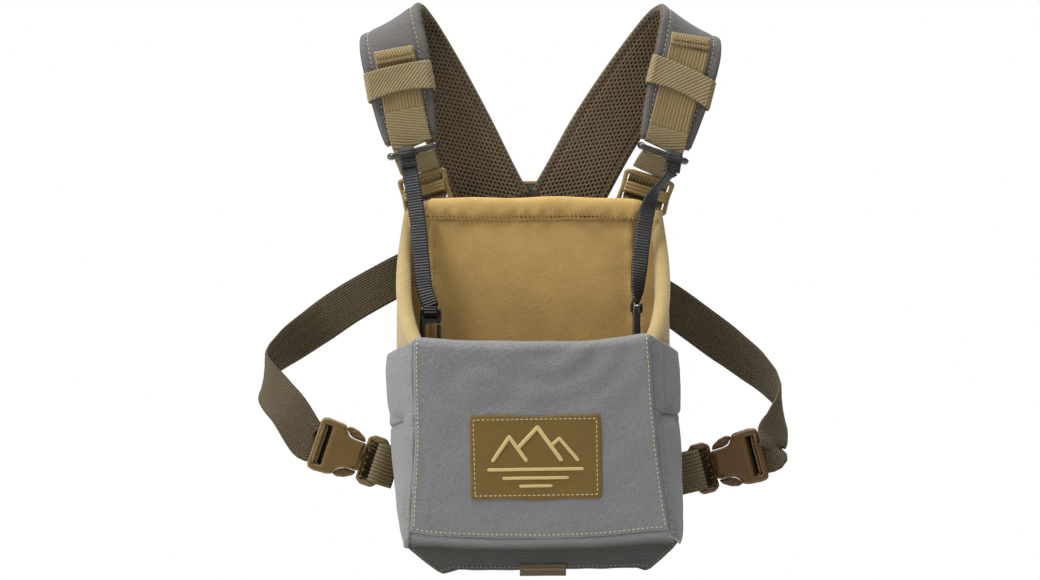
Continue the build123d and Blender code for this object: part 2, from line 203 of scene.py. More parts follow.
def softshell(name="softshell_gray", base=(0.172, 0.175, 0.175), grain=1.0, painted_bottom_shade=None):
    n = Nodes(name, base, 0.94, Sheen_Weight=0.12, Sheen_Roughness=0.6)
    fleck = n.noise(760, 3.0, 0.7)
    fleck2 = n.noise(1500, 2.0, 0.6, w=3.0)
    crepe = n.noise(330, 3.0, 0.65, stretch=(1, 1, 1.7), w=5.0)
    cloud = n.noise(30, 3.0, 0.55)
    col = n.ramp(fleck, [(0.33, tone(base, 1 - 0.20 * grain)), (0.5, base), (0.68, tone(base, 1 + 0.22 * grain))])
    col = n.mix(n.m("MULTIPLY", cloud, 0.5), col, tone(base, 0.80))
    col = n.mix(n.m("MULTIPLY", fleck2, 0.2), col, tone(base, 1.2))
    # painted shade: below the flap's top seam the colour turns to this dark tone, by the v of the UVs, for the
    # down-facing flap
    if painted_bottom_shade:
        col = n.mix(n.m("DIVIDE", n.m("SUBTRACT", n.uv()[1], 142.5), 6.0, clamp=True), col, painted_bottom_shade)
    h = n.m("ADD", n.m("MULTIPLY", fleck, 0.9), n.m("ADD", n.m("MULTIPLY", crepe, 1.5), n.m("MULTIPLY", fleck2, 0.4)))
    return n.finish(col, h, 0.75, 0.0006)


def lining(name="tan_lining", base=(0.420, 0.270, 0.088), grey=0.0):
    n = Nodes(name, base, 0.95, Sheen_Weight=0.15, Sheen_Roughness=0.5)
    cloud = n.noise(60, 4.0, 0.6)
    nap = n.noise(420, 3.0, 0.65)
    fine = n.noise(1100, 2.0, 0.65)
    col = n.ramp(cloud, [(0.30, tone(base, 0.78)), (0.55, base), (0.75, tone(base, 1.2))])
    col = n.mix(n.m("MULTIPLY", nap, 0.55), col, tone(base, 0.66))
    col = n.mix(n.m("MULTIPLY", fine, 0.55), col, tone(base, 1.55))
    h = n.m("ADD", n.m("MULTIPLY", nap, 0.8), n.m("MULTIPLY", fine, 0.7))
    return n.finish(col, h, 0.55, 0.0004)


def twill(name="tan_twill", base=(0.56, 0.40, 0.17), pitch=1.15, bump=0.45):
    n = Nodes(name, base, 0.88, Sheen_Weight=0.2, Sheen_Roughness=0.5)
    u, v = n.uv()
    wob = n.m("MULTIPLY", n.noise(260, 2.0), 0.5)
    diag = n.sine(n.m("ADD", n.m("ADD", u, n.m("MULTIPLY", v, 0.62)), wob), pitch)
    cross = n.sine(n.m("SUBTRACT", n.m("MULTIPLY", u, 0.5), v), pitch * 0.62)
    cloud = n.noise(45, 3.0)
    fine = n.noise(1700, 2.0)
    col = n.ramp(diag, [(0.0, tone(base, 0.72)), (0.45, base), (1.0, tone(base, 1.16))])
    col = n.mix(n.m("MULTIPLY", cloud, 0.4), col, tone(base, 0.82))
    col = n.mix(n.m("MULTIPLY", fine, 0.3), col, tone(base, 1.25))
    h = n.m("ADD", diag, n.m("ADD", n.m("MULTIPLY", cross, 0.35), n.m("MULTIPLY", fine, 0.4)))
    return n.finish(col, h, bump, 0.00035)


def webbing(name, base, rib=1.9, weave=0.9, groove=0.5, bump=0.6, sheen=0.15, rough=0.78):
    n = Nodes(name, base, rough, Sheen_Weight=sheen, Sheen_Roughness=0.4)
    u, v = n.uv()
    ribs = n.sine(u, rib)
    # slanted picks that turn at each rib, like herringbone
    side = n.m("SIGN", n.m("SINE", n.m("MULTIPLY", u, math.pi / rib)))
    pick = n.sine(n.m("ADD", v, n.m("MULTIPLY", n.m("MULTIPLY", u, side), 0.7)), weave)
    fine = n.noise(1500, 2.0)
    cloud = n.noise(70, 2.0)
    h = n.m("ADD", n.m("MULTIPLY", ribs, 0.9), n.m("ADD", n.m("MULTIPLY", pick, 0.55), n.m("MULTIPLY", fine, 0.3)))
    col = n.ramp(n.m("MULTIPLY", h, 0.58), [(0.12, tone(base, groove)), (0.5, base), (0.95, tone(base, 1.55))])
    col = n.mix(n.m("MULTIPLY", cloud, 0.3), col, tone(base, 0.75))
    return n.finish(col, h, bump, 0.0004)


def basket(name, base, row=1.75, pick=1.5, slant=0.30, bump=0.7, dark=0.58):
    """Coarse webbing face: slanted rows of short raised picks."""
    n = Nodes(name, base, 0.84, Sheen_Weight=0.1, Sheen_Roughness=0.5)
    u, v = n.uv()
    q = n.m("ADD", v, n.m("MULTIPLY", u, slant))
    r = n.sine(q, row)
    side = n.m("MODULO", n.m("FLOOR", n.m("ADD", n.m("DIVIDE", q, row), 400.0)), 2.0)
    p = n.sine(n.m("ADD", u, n.m("MULTIPLY", side, pick * 0.5)), pick)
    fine = n.noise(1500, 2.0)
    h = n.m("ADD", n.m("MULTIPLY", r, 0.45), n.m("ADD", n.m("MULTIPLY", n.m("MULTIPLY", r, p), 0.75), n.m("MULTIPLY", fine, 0.2)))
    col = n.ramp(n.m("MULTIPLY", h, 0.66), [(0.08, tone(base, dark)), (0.45, base), (0.95, tone(base, 1.5))])
    col = n.mix(n.m("MULTIPLY", n.noise(60, 2.0), 0.3), col, tone(base, 0.75))
    return n.finish(col, h, bump, 0.0005)


def cross_rib(name, base, rib=1.75, bump=0.8):
    """Narrow tape with ribs straight across."""
    n = Nodes(name, base, 0.45, Sheen_Weight=0.0, Specular_IOR_Level=0.4)
    u, v = n.uv()
    r = n.sine(v, rib)
    p = n.sine(u, 0.8)
    fine = n.noise(1500, 2.0)
    h = n.m("ADD", r, n.m("ADD", n.m("MULTIPLY", p, 0.25), n.m("MULTIPLY", fine, 0.25)))
    col = n.ramp(n.m("MULTIPLY", h, 0.66), [(0.12, tone(base, 0.2)), (0.6, base), (1.0, tone(base, 2.6))])
    return n.finish(col, h, bump, 0.0004)


HOLE_U, HOLE_V, HOLE_A, HOLE_B = 4.0, 3.3, 0.68, 1.12


def spacer(name="spacer_mesh", base=(0.098, 0.064, 0.030)):
    """Knitted spacer cloth: staggered oval holes painted near-black as painted shade inside them, lighter threads round
    them.
    """
    n = Nodes(name, base, 0.9, Sheen_Weight=0.25, Sheen_Roughness=0.5)
    u, v = n.uv()

    def lattice(k):
        fu = n.m("SUBTRACT", n.m("FRACT", n.m("ADD", n.m("DIVIDE", u, HOLE_U), 200.0 + k)), 0.5)
        fv = n.m("SUBTRACT", n.m("FRACT", n.m("ADD", n.m("DIVIDE", v, HOLE_V), 200.0 + k)), 0.5)
        du = n.m("MULTIPLY", fu, HOLE_U / HOLE_A)
        dv = n.m("MULTIPLY", fv, HOLE_V / HOLE_B)
        return n.m("SQRT", n.m("ADD", n.m("MULTIPLY", du, du), n.m("MULTIPLY", dv, dv)))

    d = n.m("MINIMUM", lattice(0.0), lattice(0.5))
    hole = n.m("MULTIPLY", n.m("SUBTRACT", 1.15, d), 3.2, clamp=True)
    thread = n.sine(n.m("ADD", v, n.m("MULTIPLY", n.sine(u, HOLE_U), 1.2)), 0.66)
    fine = n.noise(1400, 2.0)
    col = n.ramp(thread, [(0.0, tone(base, 0.62)), (0.6, base), (1.0, tone(base, 1.7))])
    col = n.mix(n.m("MULTIPLY", fine, 0.5), col, tone(base, 1.5))
    # painted shade: the holes take a near-black colour
    col = n.mix(hole, col, (0.006, 0.005, 0.004))
    h = n.m("SUBTRACT", n.m("ADD", n.m("MULTIPLY", thread, 0.4), n.m("MULTIPLY", fine, 0.3)), n.m("MULTIPLY", hole, 1.6))
    return n.finish(col, h, 0.7, 0.0006)


def hole_depth(u, v):
    best = np.full(np.broadcast(u, v).shape, 9.0)
    for k in (0.0, 0.5):
        fu = (u / HOLE_U + 200 + k) % 1 - 0.5
        fv = (v / HOLE_V + 200 + k) % 1 - 0.5
        best = np.minimum(best, np.sqrt((fu * HOLE_U / HOLE_A) ** 2 + (fv * HOLE_V / HOLE_B) ** 2))
    return np.clip((1.25 - best) / 0.8, 0, 1)


def moulded(name, base, rough=0.42, spec=0.45, coat=0.0, grain=0.25):
    n = Nodes(name, base, rough, Specular_IOR_Level=spec, Coat_Weight=coat, Coat_Roughness=0.25)
    cloud = n.noise(90, 3.0)
    fine = n.noise(1300, 3.0, 0.6)
    scuff = n.noise(420, 4.0, 0.7, stretch=(1, 1, 0.25))
    col = n.mix(n.m("MULTIPLY", cloud, 0.35), base, tone(base, 0.72))
    # painted highlight: sharp edges, found by pointiness, take a lighter colour
    edge = n.node("ShaderNodeNewGeometry").outputs["Pointiness"]
    edge_highlight = n.m("MULTIPLY", n.m("SUBTRACT", edge, 0.515, clamp=True), 9.0, clamp=True)
    col = n.mix(n.m("MULTIPLY", edge_highlight, 0.5), col, tone(tuple(x + 0.05 for x in base), 1.7))
    r = n.m("ADD", n.m("MULTIPLY", scuff, 0.22), rough - 0.1)
    return n.finish(col, n.m("ADD", fine, n.m("MULTIPLY", scuff, 0.5)), grain, 0.0001, r)


def thread_mat(name="thread_pale", base=(0.62, 0.49, 0.25)):
    n = Nodes(name, base, 0.6, Sheen_Weight=0.3)
    u, v = n.uv()
    tw = n.sine(n.m("ADD", v, u), 0.34)
    col = n.ramp(tw, [(0.0, tone(base, 0.6)), (1.0, tone(base, 1.2))])
    return n.finish(col, tw, 0.5, 0.0001)


GRAY = softshell()
BROWN_FLAT = twill("brown_flat", (0.085, 0.058, 0.024), pitch=1.2, bump=0.5)
# end flap softshell, with painted shade on its lower part
GRAY_END = softshell("softshell_end_flap", (0.180, 0.182, 0.176), 1.0, painted_bottom_shade=(0.014, 0.014, 0.011))
# a darker copy of the gray softshell for the down-facing end: painted shade (not assigned to any piece)
GRAY_PAINTED_SHADE = softshell("softshell_end", (0.090, 0.092, 0.086), 0.8)
PADGRAY = softshell("softshell_pad", (0.092, 0.087, 0.083), 0.6)
LINING = lining()
# darker, greyer copy of the tan lining for the side walls' inner faces: painted shade
LINING_PAINTED_SHADE = lining("lining_side", (0.215, 0.168, 0.085))
TWILL = twill(base=(0.37, 0.272, 0.108), pitch=1.5, bump=0.7)
TAN_WEB = webbing("tan_webbing", (0.235, 0.168, 0.066), rib=2.05, weave=1.2, groove=0.35, bump=0.8)
TAN_BASKET = basket("tan_webbing_face", (0.255, 0.195, 0.088))
STUB_WEB = webbing("stub_webbing", (0.120, 0.088, 0.038), rib=2.2, weave=1.3, groove=0.25, bump=0.9)
TAN_FLAT = twill("tan_flat_web", (0.205, 0.152, 0.062), pitch=1.25, bump=0.5)
ELASTIC = basket("tan_elastic", (0.270, 0.208, 0.100), row=1.9, pick=1.5, slant=0.0, bump=0.9)
BROWN_WEB = webbing("brown_webbing", (0.072, 0.050, 0.020), rib=1.55, weave=1.3, groove=0.22, bump=0.9, sheen=0.05)
BLACK_TAPE = cross_rib("black_tape", (0.0135, 0.0135, 0.0145))
SPACER = spacer(base=(0.098, 0.057, 0.015))
BLACK_PL = moulded("black_plastic", (0.006, 0.006, 0.006), 0.22, 0.55, 0.35, 0.08)
# one coyote plastic in a lighter copy (left buckle) and a darker copy (right buckle): painted light and painted shade
COYOTE_PAINTED_LIT = moulded("coyote_plastic_light", (0.118, 0.066, 0.011), 0.40)
COYOTE_PAINTED_SHADE = moulded("coyote_plastic_dark", (0.086, 0.037, 0.004), 0.40)
TAN_PL = moulded("tan_plastic", (0.215, 0.142, 0.045), 0.38)
PATCH = twill("patch_twill", (0.150, 0.088, 0.009), pitch=1.35, bump=0.8)
THREAD = thread_mat(base=(0.66, 0.54, 0.30))
THREAD_TAN = thread_mat("thread_tan", (0.36, 0.24, 0.075))
THREAD_DIM = thread_mat("thread_dim", (0.20, 0.17, 0.12))
THREAD_BROWN = thread_mat("thread_brown", (0.10, 0.06, 0.018))
EMB = thread_mat("embroidery", (0.62, 0.44, 0.17))
STEEL = moulded("magnet_steel", (0.55, 0.55, 0.56), 0.3, 0.6)


# ------------------------------------------------------------------ mesh helpers; all sizes below are millimetres
def add(name, verts, faces, uvs=None, mats=(), mat_index=None, body=None, replaces=(), smooth=True):
    """verts (n,3) in mm, faces of vertex numbers, uvs one (u, v) per vertex in mm."""
    me = bpy.data.meshes.new(name)
    me.from_pydata((np.asarray(verts, float) * MM).tolist(), [], [tuple(int(i) for i in f) for f in faces])
    if uvs is not None:
        layer = me.uv_layers.new(name="UVMap")
        idx = np.zeros(len(me.loops), dtype=np.int64)
        me.loops.foreach_get("vertex_index", idx)
        layer.data.foreach_set("uv", np.asarray(uvs, float)[idx].astype(np.float32).ravel())
    for m in mats:
        me.materials.append(m)
    if mat_index is not None:
        me.polygons.foreach_set("material_index", np.asarray(mat_index, dtype=np.int32))
    ob = bpy.data.objects.new(name, me)
    scene.collection.objects.link(ob)
    bm = bmesh.new()
    bm.from_mesh(me)
    bmesh.ops.remove_doubles(bm, verts=bm.verts, dist=1e-7)
    bmesh.ops.recalc_face_normals(bm, faces=bm.faces)
    for f in bm.faces:
        f.smooth = smooth
    bm.to_mesh(me)
    bm.free()
    if replaces:
        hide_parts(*replaces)
    if body:
        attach(ob, body)
    return ob


def smooth_rows(st, step):
    """Catmull-Rom through the stations' rows of numbers, resampled at about step mm of the first three columns."""
    P = np.asarray(st, float)
    ext = np.vstack([2 * P[0] - P[1], P, 2 * P[-1] - P[-2]])
    fine = []
    for i in range(1, len(ext) - 2):
        p0, p1, p2, p3 = ext[i - 1], ext[i], ext[i + 1], ext[i + 2]
        for t in np.linspace(0, 1, 24, endpoint=False):
            fine.append(0.5 * (2 * p1 + (p2 - p0) * t + (2 * p0 - 5 * p1 + 4 * p2 - p3) * t ** 2 + (3 * p1 - p0 - 3 * p2 + p3) * t ** 3))
    fine.append(P[-1])
    fine = np.array(fine)
    s = np.concatenate([[0], np.cumsum(np.linalg.norm(np.diff(fine[:, :3], axis=0), axis=1))])
    k = max(4, int(round(s[-1] / step)) + 1)
    want = np.linspace(0, s[-1], k)
    return np.stack([np.interp(want, s, fine[:, c]) for c in range(fine.shape[1])], 1), want


def norm(a):
    return a / np.maximum(np.linalg.norm(a, axis=-1, keepdims=True), 1e-12)


def band_grid(st, step=1.0, cols=25, offset=0.0, width=None, curl=0.0):
    """Stations x, y, z, width, roll in degrees, optional y part of the width direction. Returns points (R,C,3), normals (R,C,3), u and v in mm."""
    st = [tuple(s) + (0.0,) * (6 - len(s)) for s in st]
    rows, v = smooth_rows(st, step)
    c = rows[:, :3]
    wd = rows[:, 3] if width is None else np.full(len(rows), float(width))
    t = norm(np.gradient(c, axis=0))
    r = np.radians(rows[:, 4])
    w = norm(np.stack([np.cos(r), rows[:, 5], np.sin(r)], 1))
    w = norm(w - t * (t * w).sum(1, keepdims=True))
    n = norm(np.cross(t, w))
    a = np.linspace(-1, 1, cols)
    P = c[:, None] + w[:, None] * (a[None, :, None] * wd[:, None, None] / 2) + n[:, None] * (offset + curl * a[None, :, None] ** 2)
    N = np.broadcast_to(n[:, None], P.shape).copy()
    U = a[None, :] * wd[:, None] / 2
    V = np.broadcast_to(v[:, None], U.shape).copy()
    return P, N, U, V


def grid_normals(P):
    du = np.gradient(P, axis=1)
    dv = np.gradient(P, axis=0)
    return norm(np.cross(dv, du))


def border(P):
    """Distance of each grid point from the sheet's own border, in mm."""
    R, C, _ = P.shape
    su = np.concatenate([np.zeros((R, 1)), np.cumsum(np.linalg.norm(np.diff(P, axis=1), axis=2), 1)], 1)
    sv = np.concatenate([np.zeros((1, C)), np.cumsum(np.linalg.norm(np.diff(P, axis=0), axis=2), 0)], 0)
    return np.minimum(np.minimum(su, su[:, -1:] - su), np.minimum(sv, sv[-1:] - sv))


def padded_sheet(name, P, th, U, V, N=None, edge=1.5, thin=0.25, top=None, bottom=None, mats=(None,), body=None,
                 replaces=(), sides=None):
    """A closed sheet of thickness th about the grid P, rounded at its border. top and bottom add to the height of each face, in mm."""
    R, C, _ = P.shape
    if N is None:
        N = grid_normals(P)
    d = border(P)
    k = np.clip(d / edge, 0, 1)
    h = np.sqrt(1 - (1 - k) ** 2) * (1 - thin) + thin
    h = h * (np.asarray(th) / 2)
    ft = 0 if top is None else top
    fb = 0 if bottom is None else bottom
    keep = np.clip(d / max(edge, 1e-6), 0, 1)
    A = P + N * (h + ft * keep)[..., None]
    B = P - N * (h + fb * keep)[..., None]
    verts = np.vstack([A.reshape(-1, 3), B.reshape(-1, 3)])
    uv = np.stack([U.ravel(), V.ravel()], 1)
    uvs = np.vstack([uv, uv + [0.37, 0.11]])
    idx = np.arange(R * C).reshape(R, C)
    q = np.stack([idx[:-1, :-1], idx[:-1, 1:], idx[1:, 1:], idx[1:, :-1]], -1).reshape(-1, 4)
    qb = q[:, ::-1] + R * C
    loop = np.concatenate([idx[0, :], idx[1:, -1], idx[-1, -2::-1], idx[-2:0:-1, 0]])
    nxt = np.roll(loop, -1)
    rim = np.stack([loop, loop + R * C, nxt + R * C, nxt], -1)
    faces = np.vstack([q, qb, rim])
    mi = np.zeros(len(faces), int)
    if len(mats) > 1:
        mi[len(q):2 * len(q)] = 1
    if len(mats) > 2:
        mi[2 * len(q):] = 2
    return add(name, verts, faces, uvs, mats, mi, body, replaces)


def tube(name, C, rad, W=None, sides=14, flat=1.0, mats=(), body=None, replaces=(), radii=None, caps=True, uvscale=1.0):
    """A round or oval tube along points C (mm); W is the wide direction, flat the share of the radius across it."""
    C = np.asarray(C, float)
    t = norm(np.gradient(C, axis=0))
    if W is None:
        W = np.zeros_like(C) + [0, 0, 1]
        W[np.abs(t[:, 2]) > 0.8] = [0, 1, 0]
    else:
        W = np.broadcast_to(np.asarray(W, float), C.shape)
    w = norm(W - t * (t * W).sum(1, keepdims=True))
    b = norm(np.cross(t, w))
    r = np.full(len(C), float(rad)) if radii is None else np.asarray(radii, float)
    ang = np.linspace(0, 2 * math.pi, sides + 1)
    P = C[:, None] + w[:, None] * (np.cos(ang)[None, :, None] * r[:, None, None]) + b[:, None] * (np.sin(ang)[None, :, None] * r[:, None, None] * flat)
    v = np.concatenate([[0], np.cumsum(np.linalg.norm(np.diff(C, axis=0), axis=1))])
    U = np.broadcast_to(ang[None] * rad * uvscale, P.shape[:2])
    V = np.broadcast_to(v[:, None], P.shape[:2])
    R, K = P.shape[:2]
    idx = np.arange(R * K).reshape(R, K)
    q = np.stack([idx[:-1, :-1], idx[:-1, 1:], idx[1:, 1:], idx[1:, :-1]], -1).reshape(-1, 4).tolist()
    verts, uvs = P.reshape(-1, 3), np.stack([U.ravel(), V.ravel()], 1)
    if caps:
        for end in (0, R - 1):
            q.append(idx[end, :-1].tolist() if end else idx[end, :-1][::-1].tolist())
    return add(name, verts, q, uvs, mats, None, body, replaces)


def stitch_mesh(lines, length=2.3, gap=1.1, rad=0.26, sink=0.05, side=0.0):
    """Short thread loops along each (points, normals) line. Returns verts, faces, uvs."""
    verts, faces, uvs = [], [], []
    K, S = 6, 6
    ang = np.linspace(0, 2 * math.pi, K, endpoint=False)
    for pts, nrm in lines:
        pts, nrm = np.asarray(pts, float), np.asarray(nrm, float)
        if nrm.ndim == 1:
            nrm = np.broadcast_to(nrm, pts.shape)
        s = np.concatenate([[0], np.cumsum(np.linalg.norm(np.diff(pts, axis=0), axis=1))])
        count = int((s[-1] + gap) // (length + gap))
        pad = (s[-1] - (count * (length + gap) - gap)) / 2
        for i in range(count):
            a = pad + i * (length + gap)
            f = np.linspace(a, a + length, S)
            c = np.stack([np.interp(f, s, pts[:, k]) for k in range(3)], 1)
            n = norm(np.stack([np.interp(f, s, nrm[:, k]) for k in range(3)], 1))
            t = norm(np.gradient(c, axis=0))
            b = norm(np.cross(t, n))
            x = np.linspace(-1, 1, S)
            c = c + n * ((1 - x ** 2) * rad * 0.9 - rad * 0.35 - sink)[:, None] + b * (side * x)[:, None]
            r = rad * np.sqrt(np.clip(1 - (np.abs(x) ** 3) * 0.75, 0.2, 1))
            ring = c[:, None] + n[:, None] * (np.cos(ang)[None, :, None] * r[:, None, None]) + b[:, None] * (np.sin(ang)[None, :, None] * r[:, None, None])
            base = len(verts)
            verts += ring.reshape(-1, 3).tolist()
            uvs += [(ang[k] * rad, f[j]) for j in range(S) for k in range(K)]
            for j in range(S - 1):
                for k in range(K):
                    k2 = (k + 1) % K
                    faces.append((base + j * K + k, base + j * K + k2, base + (j + 1) * K + k2, base + (j + 1) * K + k))
            faces.append(tuple(base + k for k in range(K))[::-1])
            faces.append(tuple(base + (S - 1) * K + k for k in range(K)))
    return verts, faces, uvs


def stitches(name, lines, body, mat=None, **kw):
    v, f, u = stitch_mesh(lines, **kw)
    return add(name, v, f, u, (mat or THREAD,), None, body)


def rnd(seed, n):
    return np.random.default_rng(seed).random(n)


def wav(x, y, seed=0, octaves=4, base=1.0):
    """Smooth repeatable noise of two arrays, about -1..1."""
    g = np.random.default_rng(seed)
    out = np.zeros(np.broadcast(x, y).shape)
    for o in range(octaves):
        f = base * 1.9 ** o
        for _ in range(4):
            a = g.random() * 2 * math.pi
            out = out + np.sin((x * math.cos(a) + y * math.sin(a)) * f + g.random() * 6.28) / (4 * 1.55 ** o)
    return out


def fit(zs, xs, z):
    """Smooth-ish interpolation of a measured edge."""
    o = np.argsort(zs)
    return np.interp(z, np.asarray(zs, float)[o], np.asarray(xs, float)[o])


def smoothfit(zs, xs, z, k=5):
    o = np.argsort(zs)
    zz, xx = np.asarray(zs, float)[o], np.asarray(xs, float)[o]
    out = 0
    for d in np.linspace(-1, 1, k):
        out = out + np.interp(z + d * 5.0, zz, xx)
    return out / k


def ss(x, a, b):
    t = np.clip((x - a) / (b - a), 0, 1)
    return t * t * (3 - 2 * t)


def poly_round(pts, r, k=5):
    """Corners of a polygon rounded with short arcs. r is one number or one per corner."""
    pts = [np.array(p, float) for p in pts]
    rs = [r] * len(pts) if isinstance(r, (int, float)) else list(r)
    out = []
    for i, p in enumerate(pts):
        a, b = pts[i - 1] - p, pts[(i + 1) % len(pts)] - p
        la, lb = np.linalg.norm(a), np.linalg.norm(b)
        a, b = a / la, b / lb
        half = math.acos(max(-1, min(1, float(a @ b)))) / 2
        if rs[i] <= 0 or half > 1.54:
            out.append(tuple(p))
            continue
        d = min(rs[i] / math.tan(half), la * 0.48, lb * 0.48)
        p0, p1 = p + a * d, p + b * d
        for t in np.linspace(0, 1, k):
            out.append(tuple((1 - t) ** 2 * p0 + 2 * t * (1 - t) * p + t * t * p1))
    return out


def oval(cx, cy, rx, ry, k=20, power=2.4):
    a = np.linspace(0, 2 * math.pi, k, endpoint=False)
    c, s = np.cos(a), np.sin(a)
    return [(cx + rx * math.copysign(abs(x) ** (2 / power), x), cy + ry * math.copysign(abs(y) ** (2 / power), y)) for x, y in zip(c, s)]


def rect(x0, x1, y0, y1, r=0.8):
    return poly_round([(x0, y0), (x1, y0), (x1, y1), (x0, y1)], r)


def raw_plate(outer, holes, thick, bevel, frame_m, res=2):
    cu = bpy.data.curves.new("plate_path", "CURVE")
    cu.dimensions = "2D"
    cu.fill_mode = "BOTH"
    for ring in [outer] + list(holes):
        sp = cu.splines.new("POLY")
        sp.points.add(len(ring) - 1)
        for p, (x, y) in zip(sp.points, ring):
            p.co = (x * MM, y * MM, 0, 1)
        sp.use_cyclic_u = True
    cu.extrude = max(0.0, (thick / 2 - bevel)) * MM
    cu.bevel_depth = bevel * MM
    cu.offset = -bevel * MM
    cu.bevel_resolution = res
    tmp = bpy.data.objects.new("plate_path", cu)
    me = bpy.data.meshes.new_from_object(tmp)
    bpy.data.objects.remove(tmp)
    bpy.data.curves.remove(cu)
    me.transform(frame_m)
    bm = bmesh.new()
    bm.from_mesh(me)
    bmesh.ops.remove_doubles(bm, verts=bm.verts, dist=2e-6)
    bmesh.ops.recalc_face_normals(bm, faces=bm.faces)
    bm.to_mesh(me)
    bm.free()
    return me


def frame_of(origin, X, Y):
    X, Y = norm(np.array(X, float)), norm(np.array(Y, float))
    Y = norm(Y - X * (X @ Y))
    Z = np.cross(X, Y)
    o = np.array(origin, float) * MM
    return Matrix(((X[0], Y[0], Z[0], o[0]), (X[1], Y[1], Z[1], o[1]), (X[2], Y[2], Z[2], o[2]), (0, 0, 0, 1)))


def cut_with(me, cutters):
    """Blender's own boolean, applied at once."""
    ob = bpy.data.objects.new("cut_a", me)
    scene.collection.objects.link(ob)
    made = []
    for c in cutters:
        cob = bpy.data.objects.new("cut_b", c)
        scene.collection.objects.link(cob)
        m = ob.modifiers.new("cut", "BOOLEAN")
        m.operation, m.object, m.solver = "DIFFERENCE", cob, "EXACT"
        made.append(cob)
    dg = bpy.context.evaluated_depsgraph_get()
    out = bpy.data.meshes.new_from_object(ob.evaluated_get(dg))
    for o in made + [ob]:
        bpy.data.objects.remove(o)
    return out


def finish_hard(name, me, mats, body, replaces, angle=34):
    me.materials.clear()
    for m in mats:
        me.materials.append(m)
    for p in me.polygons:
        p.use_smooth = True
        p.material_index = 0
    me.set_sharp_from_angle(angle=math.radians(angle))
    ob = bpy.data.objects.new(name, me)
    scene.collection.objects.link(ob)
    wn = ob.modifiers.new("normals", "WEIGHTED_NORMAL")
    wn.keep_sharp = True
    if replaces:
        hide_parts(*replaces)
    if body:
        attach(ob, body)
    return ob


def plate(name, outer, holes, thick, bevel, M, mats, body, replaces=(), cutters=(), res=2):
    me = raw_plate(outer, holes, thick, bevel, M, res)
    if cutters:
        me = cut_with(me, cutters)
    return finish_hard(name, me, mats, body, replaces)


def clip_plane(ob, co, no):
    """Keeps the side of the plane that no points away from, and closes the cut."""
    bm = bmesh.new()
    bm.from_mesh(ob.data)
    r = bmesh.ops.bisect_plane(bm, geom=bm.verts[:] + bm.edges[:] + bm.faces[:], plane_co=Vector(co) * MM, plane_no=Vector(no), clear_outer=True)
    edges = [e for e in r["geom_cut"] if isinstance(e, bmesh.types.BMEdge)]
    bmesh.ops.holes_fill(bm, edges=edges, sides=0)
    bm.to_mesh(ob.data)
    bm.free()


def puff(ob, voxel=5.0, pressure=4.0, cap=5.0, frames=20):
    """Inflates a closed piece with Blender's cloth, and applies the result with each point's travel capped."""
    m = ob.modifiers.new("remesh", "REMESH")
    m.mode, m.voxel_size = "VOXEL", voxel * MM
    dg = bpy.context.evaluated_depsgraph_get()
    me = bpy.data.meshes.new_from_object(ob.evaluated_get(dg))
    ob.modifiers.remove(m)
    mats = list(ob.data.materials)
    tmp = bpy.data.objects.new("puff", me)
    scene.collection.objects.link(tmp)
    start = np.zeros(len(me.vertices) * 3, np.float32)
    me.vertices.foreach_get("co", start)
    c = tmp.modifiers.new("cloth", "CLOTH")
    s = c.settings
    s.quality, s.mass = 6, 0.3
    s.use_pressure, s.uniform_pressure_force = True, pressure
    s.effector_weights.gravity = 0
    s.tension_stiffness = s.compression_stiffness = 25
    s.shear_stiffness, s.bending_stiffness = 12, 0.6
    c.collision_settings.use_collision = False
    c.point_cache.frame_start, c.point_cache.frame_end = 1, frames
    for f in range(1, frames + 1):
        scene.frame_set(f)
        dg = bpy.context.evaluated_depsgraph_get()
        ev = tmp.evaluated_get(dg)
        if f == frames:
            end = np.zeros_like(start)
            ev.data.vertices.foreach_get("co", end)
    scene.frame_set(1)
    d = (end - start).reshape(-1, 3)
    L = np.linalg.norm(d, axis=1, keepdims=True)
    d = d * (cap * MM * np.tanh(L / (cap * MM)) / np.maximum(L, 1e-9))
    tmp.modifiers.clear()
    bpy.data.objects.remove(tmp)
    me.vertices.foreach_set("co", (start.reshape(-1, 3) + d).ravel())
    me.materials.clear()
    for x in mats:
        me.materials.append(x)
    for p in me.polygons:
        p.use_smooth = True
        p.material_index = 0
    ob.data = me
    sub = ob.modifiers.new("sub", "SUBSURF")
    sub.levels = sub.render_levels = 1


# ------------------------------------------------------------------ stage and light
def make_stage():
    x = np.linspace(-2600, 2600, 9)
    X, Y = np.meshgrid(x, x)
    P = np.stack([X, Y, np.full(X.shape, -330.0)], -1)
    idx = np.arange(81).reshape(9, 9)
    q = np.stack([idx[:-1, :-1], idx[:-1, 1:], idx[1:, 1:], idx[1:, :-1]], -1).reshape(-1, 4)
    n = Nodes("studio_paper", (0.80, 0.80, 0.795), 0.95)
    m = n.finish(n.mix(n.m("MULTIPLY", n.noise(3.0, 3.0), 0.2), (0.80, 0.80, 0.795), (0.78, 0.78, 0.775)), n.noise(500, 2.0), 0.02, 0.0002)
    add("studio_floor", P.reshape(-1, 3), q, None, [m])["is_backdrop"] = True


make_stage()
world = bpy.data.worlds.new("studio")
scene.world = world
world.use_nodes = True
wt = world.node_tree
soft = wt.nodes["Background"]
soft.inputs[0].default_value = (1.0, 1.0, 1.0, 1)
soft.inputs[1].default_value = 0.24
paper = wt.nodes.new("ShaderNodeBackground")
paper.inputs[0].default_value = (1.0, 1.0, 1.0, 1)
paper.inputs[1].default_value = 1.0
ray = wt.nodes.new("ShaderNodeLightPath")
both = wt.nodes.new("ShaderNodeMixShader")
wt.links.new(ray.outputs["Is Camera Ray"], both.inputs[0])
wt.links.new(soft.outputs[0], both.inputs[1])
wt.links.new(paper.outputs[0], both.inputs[2])
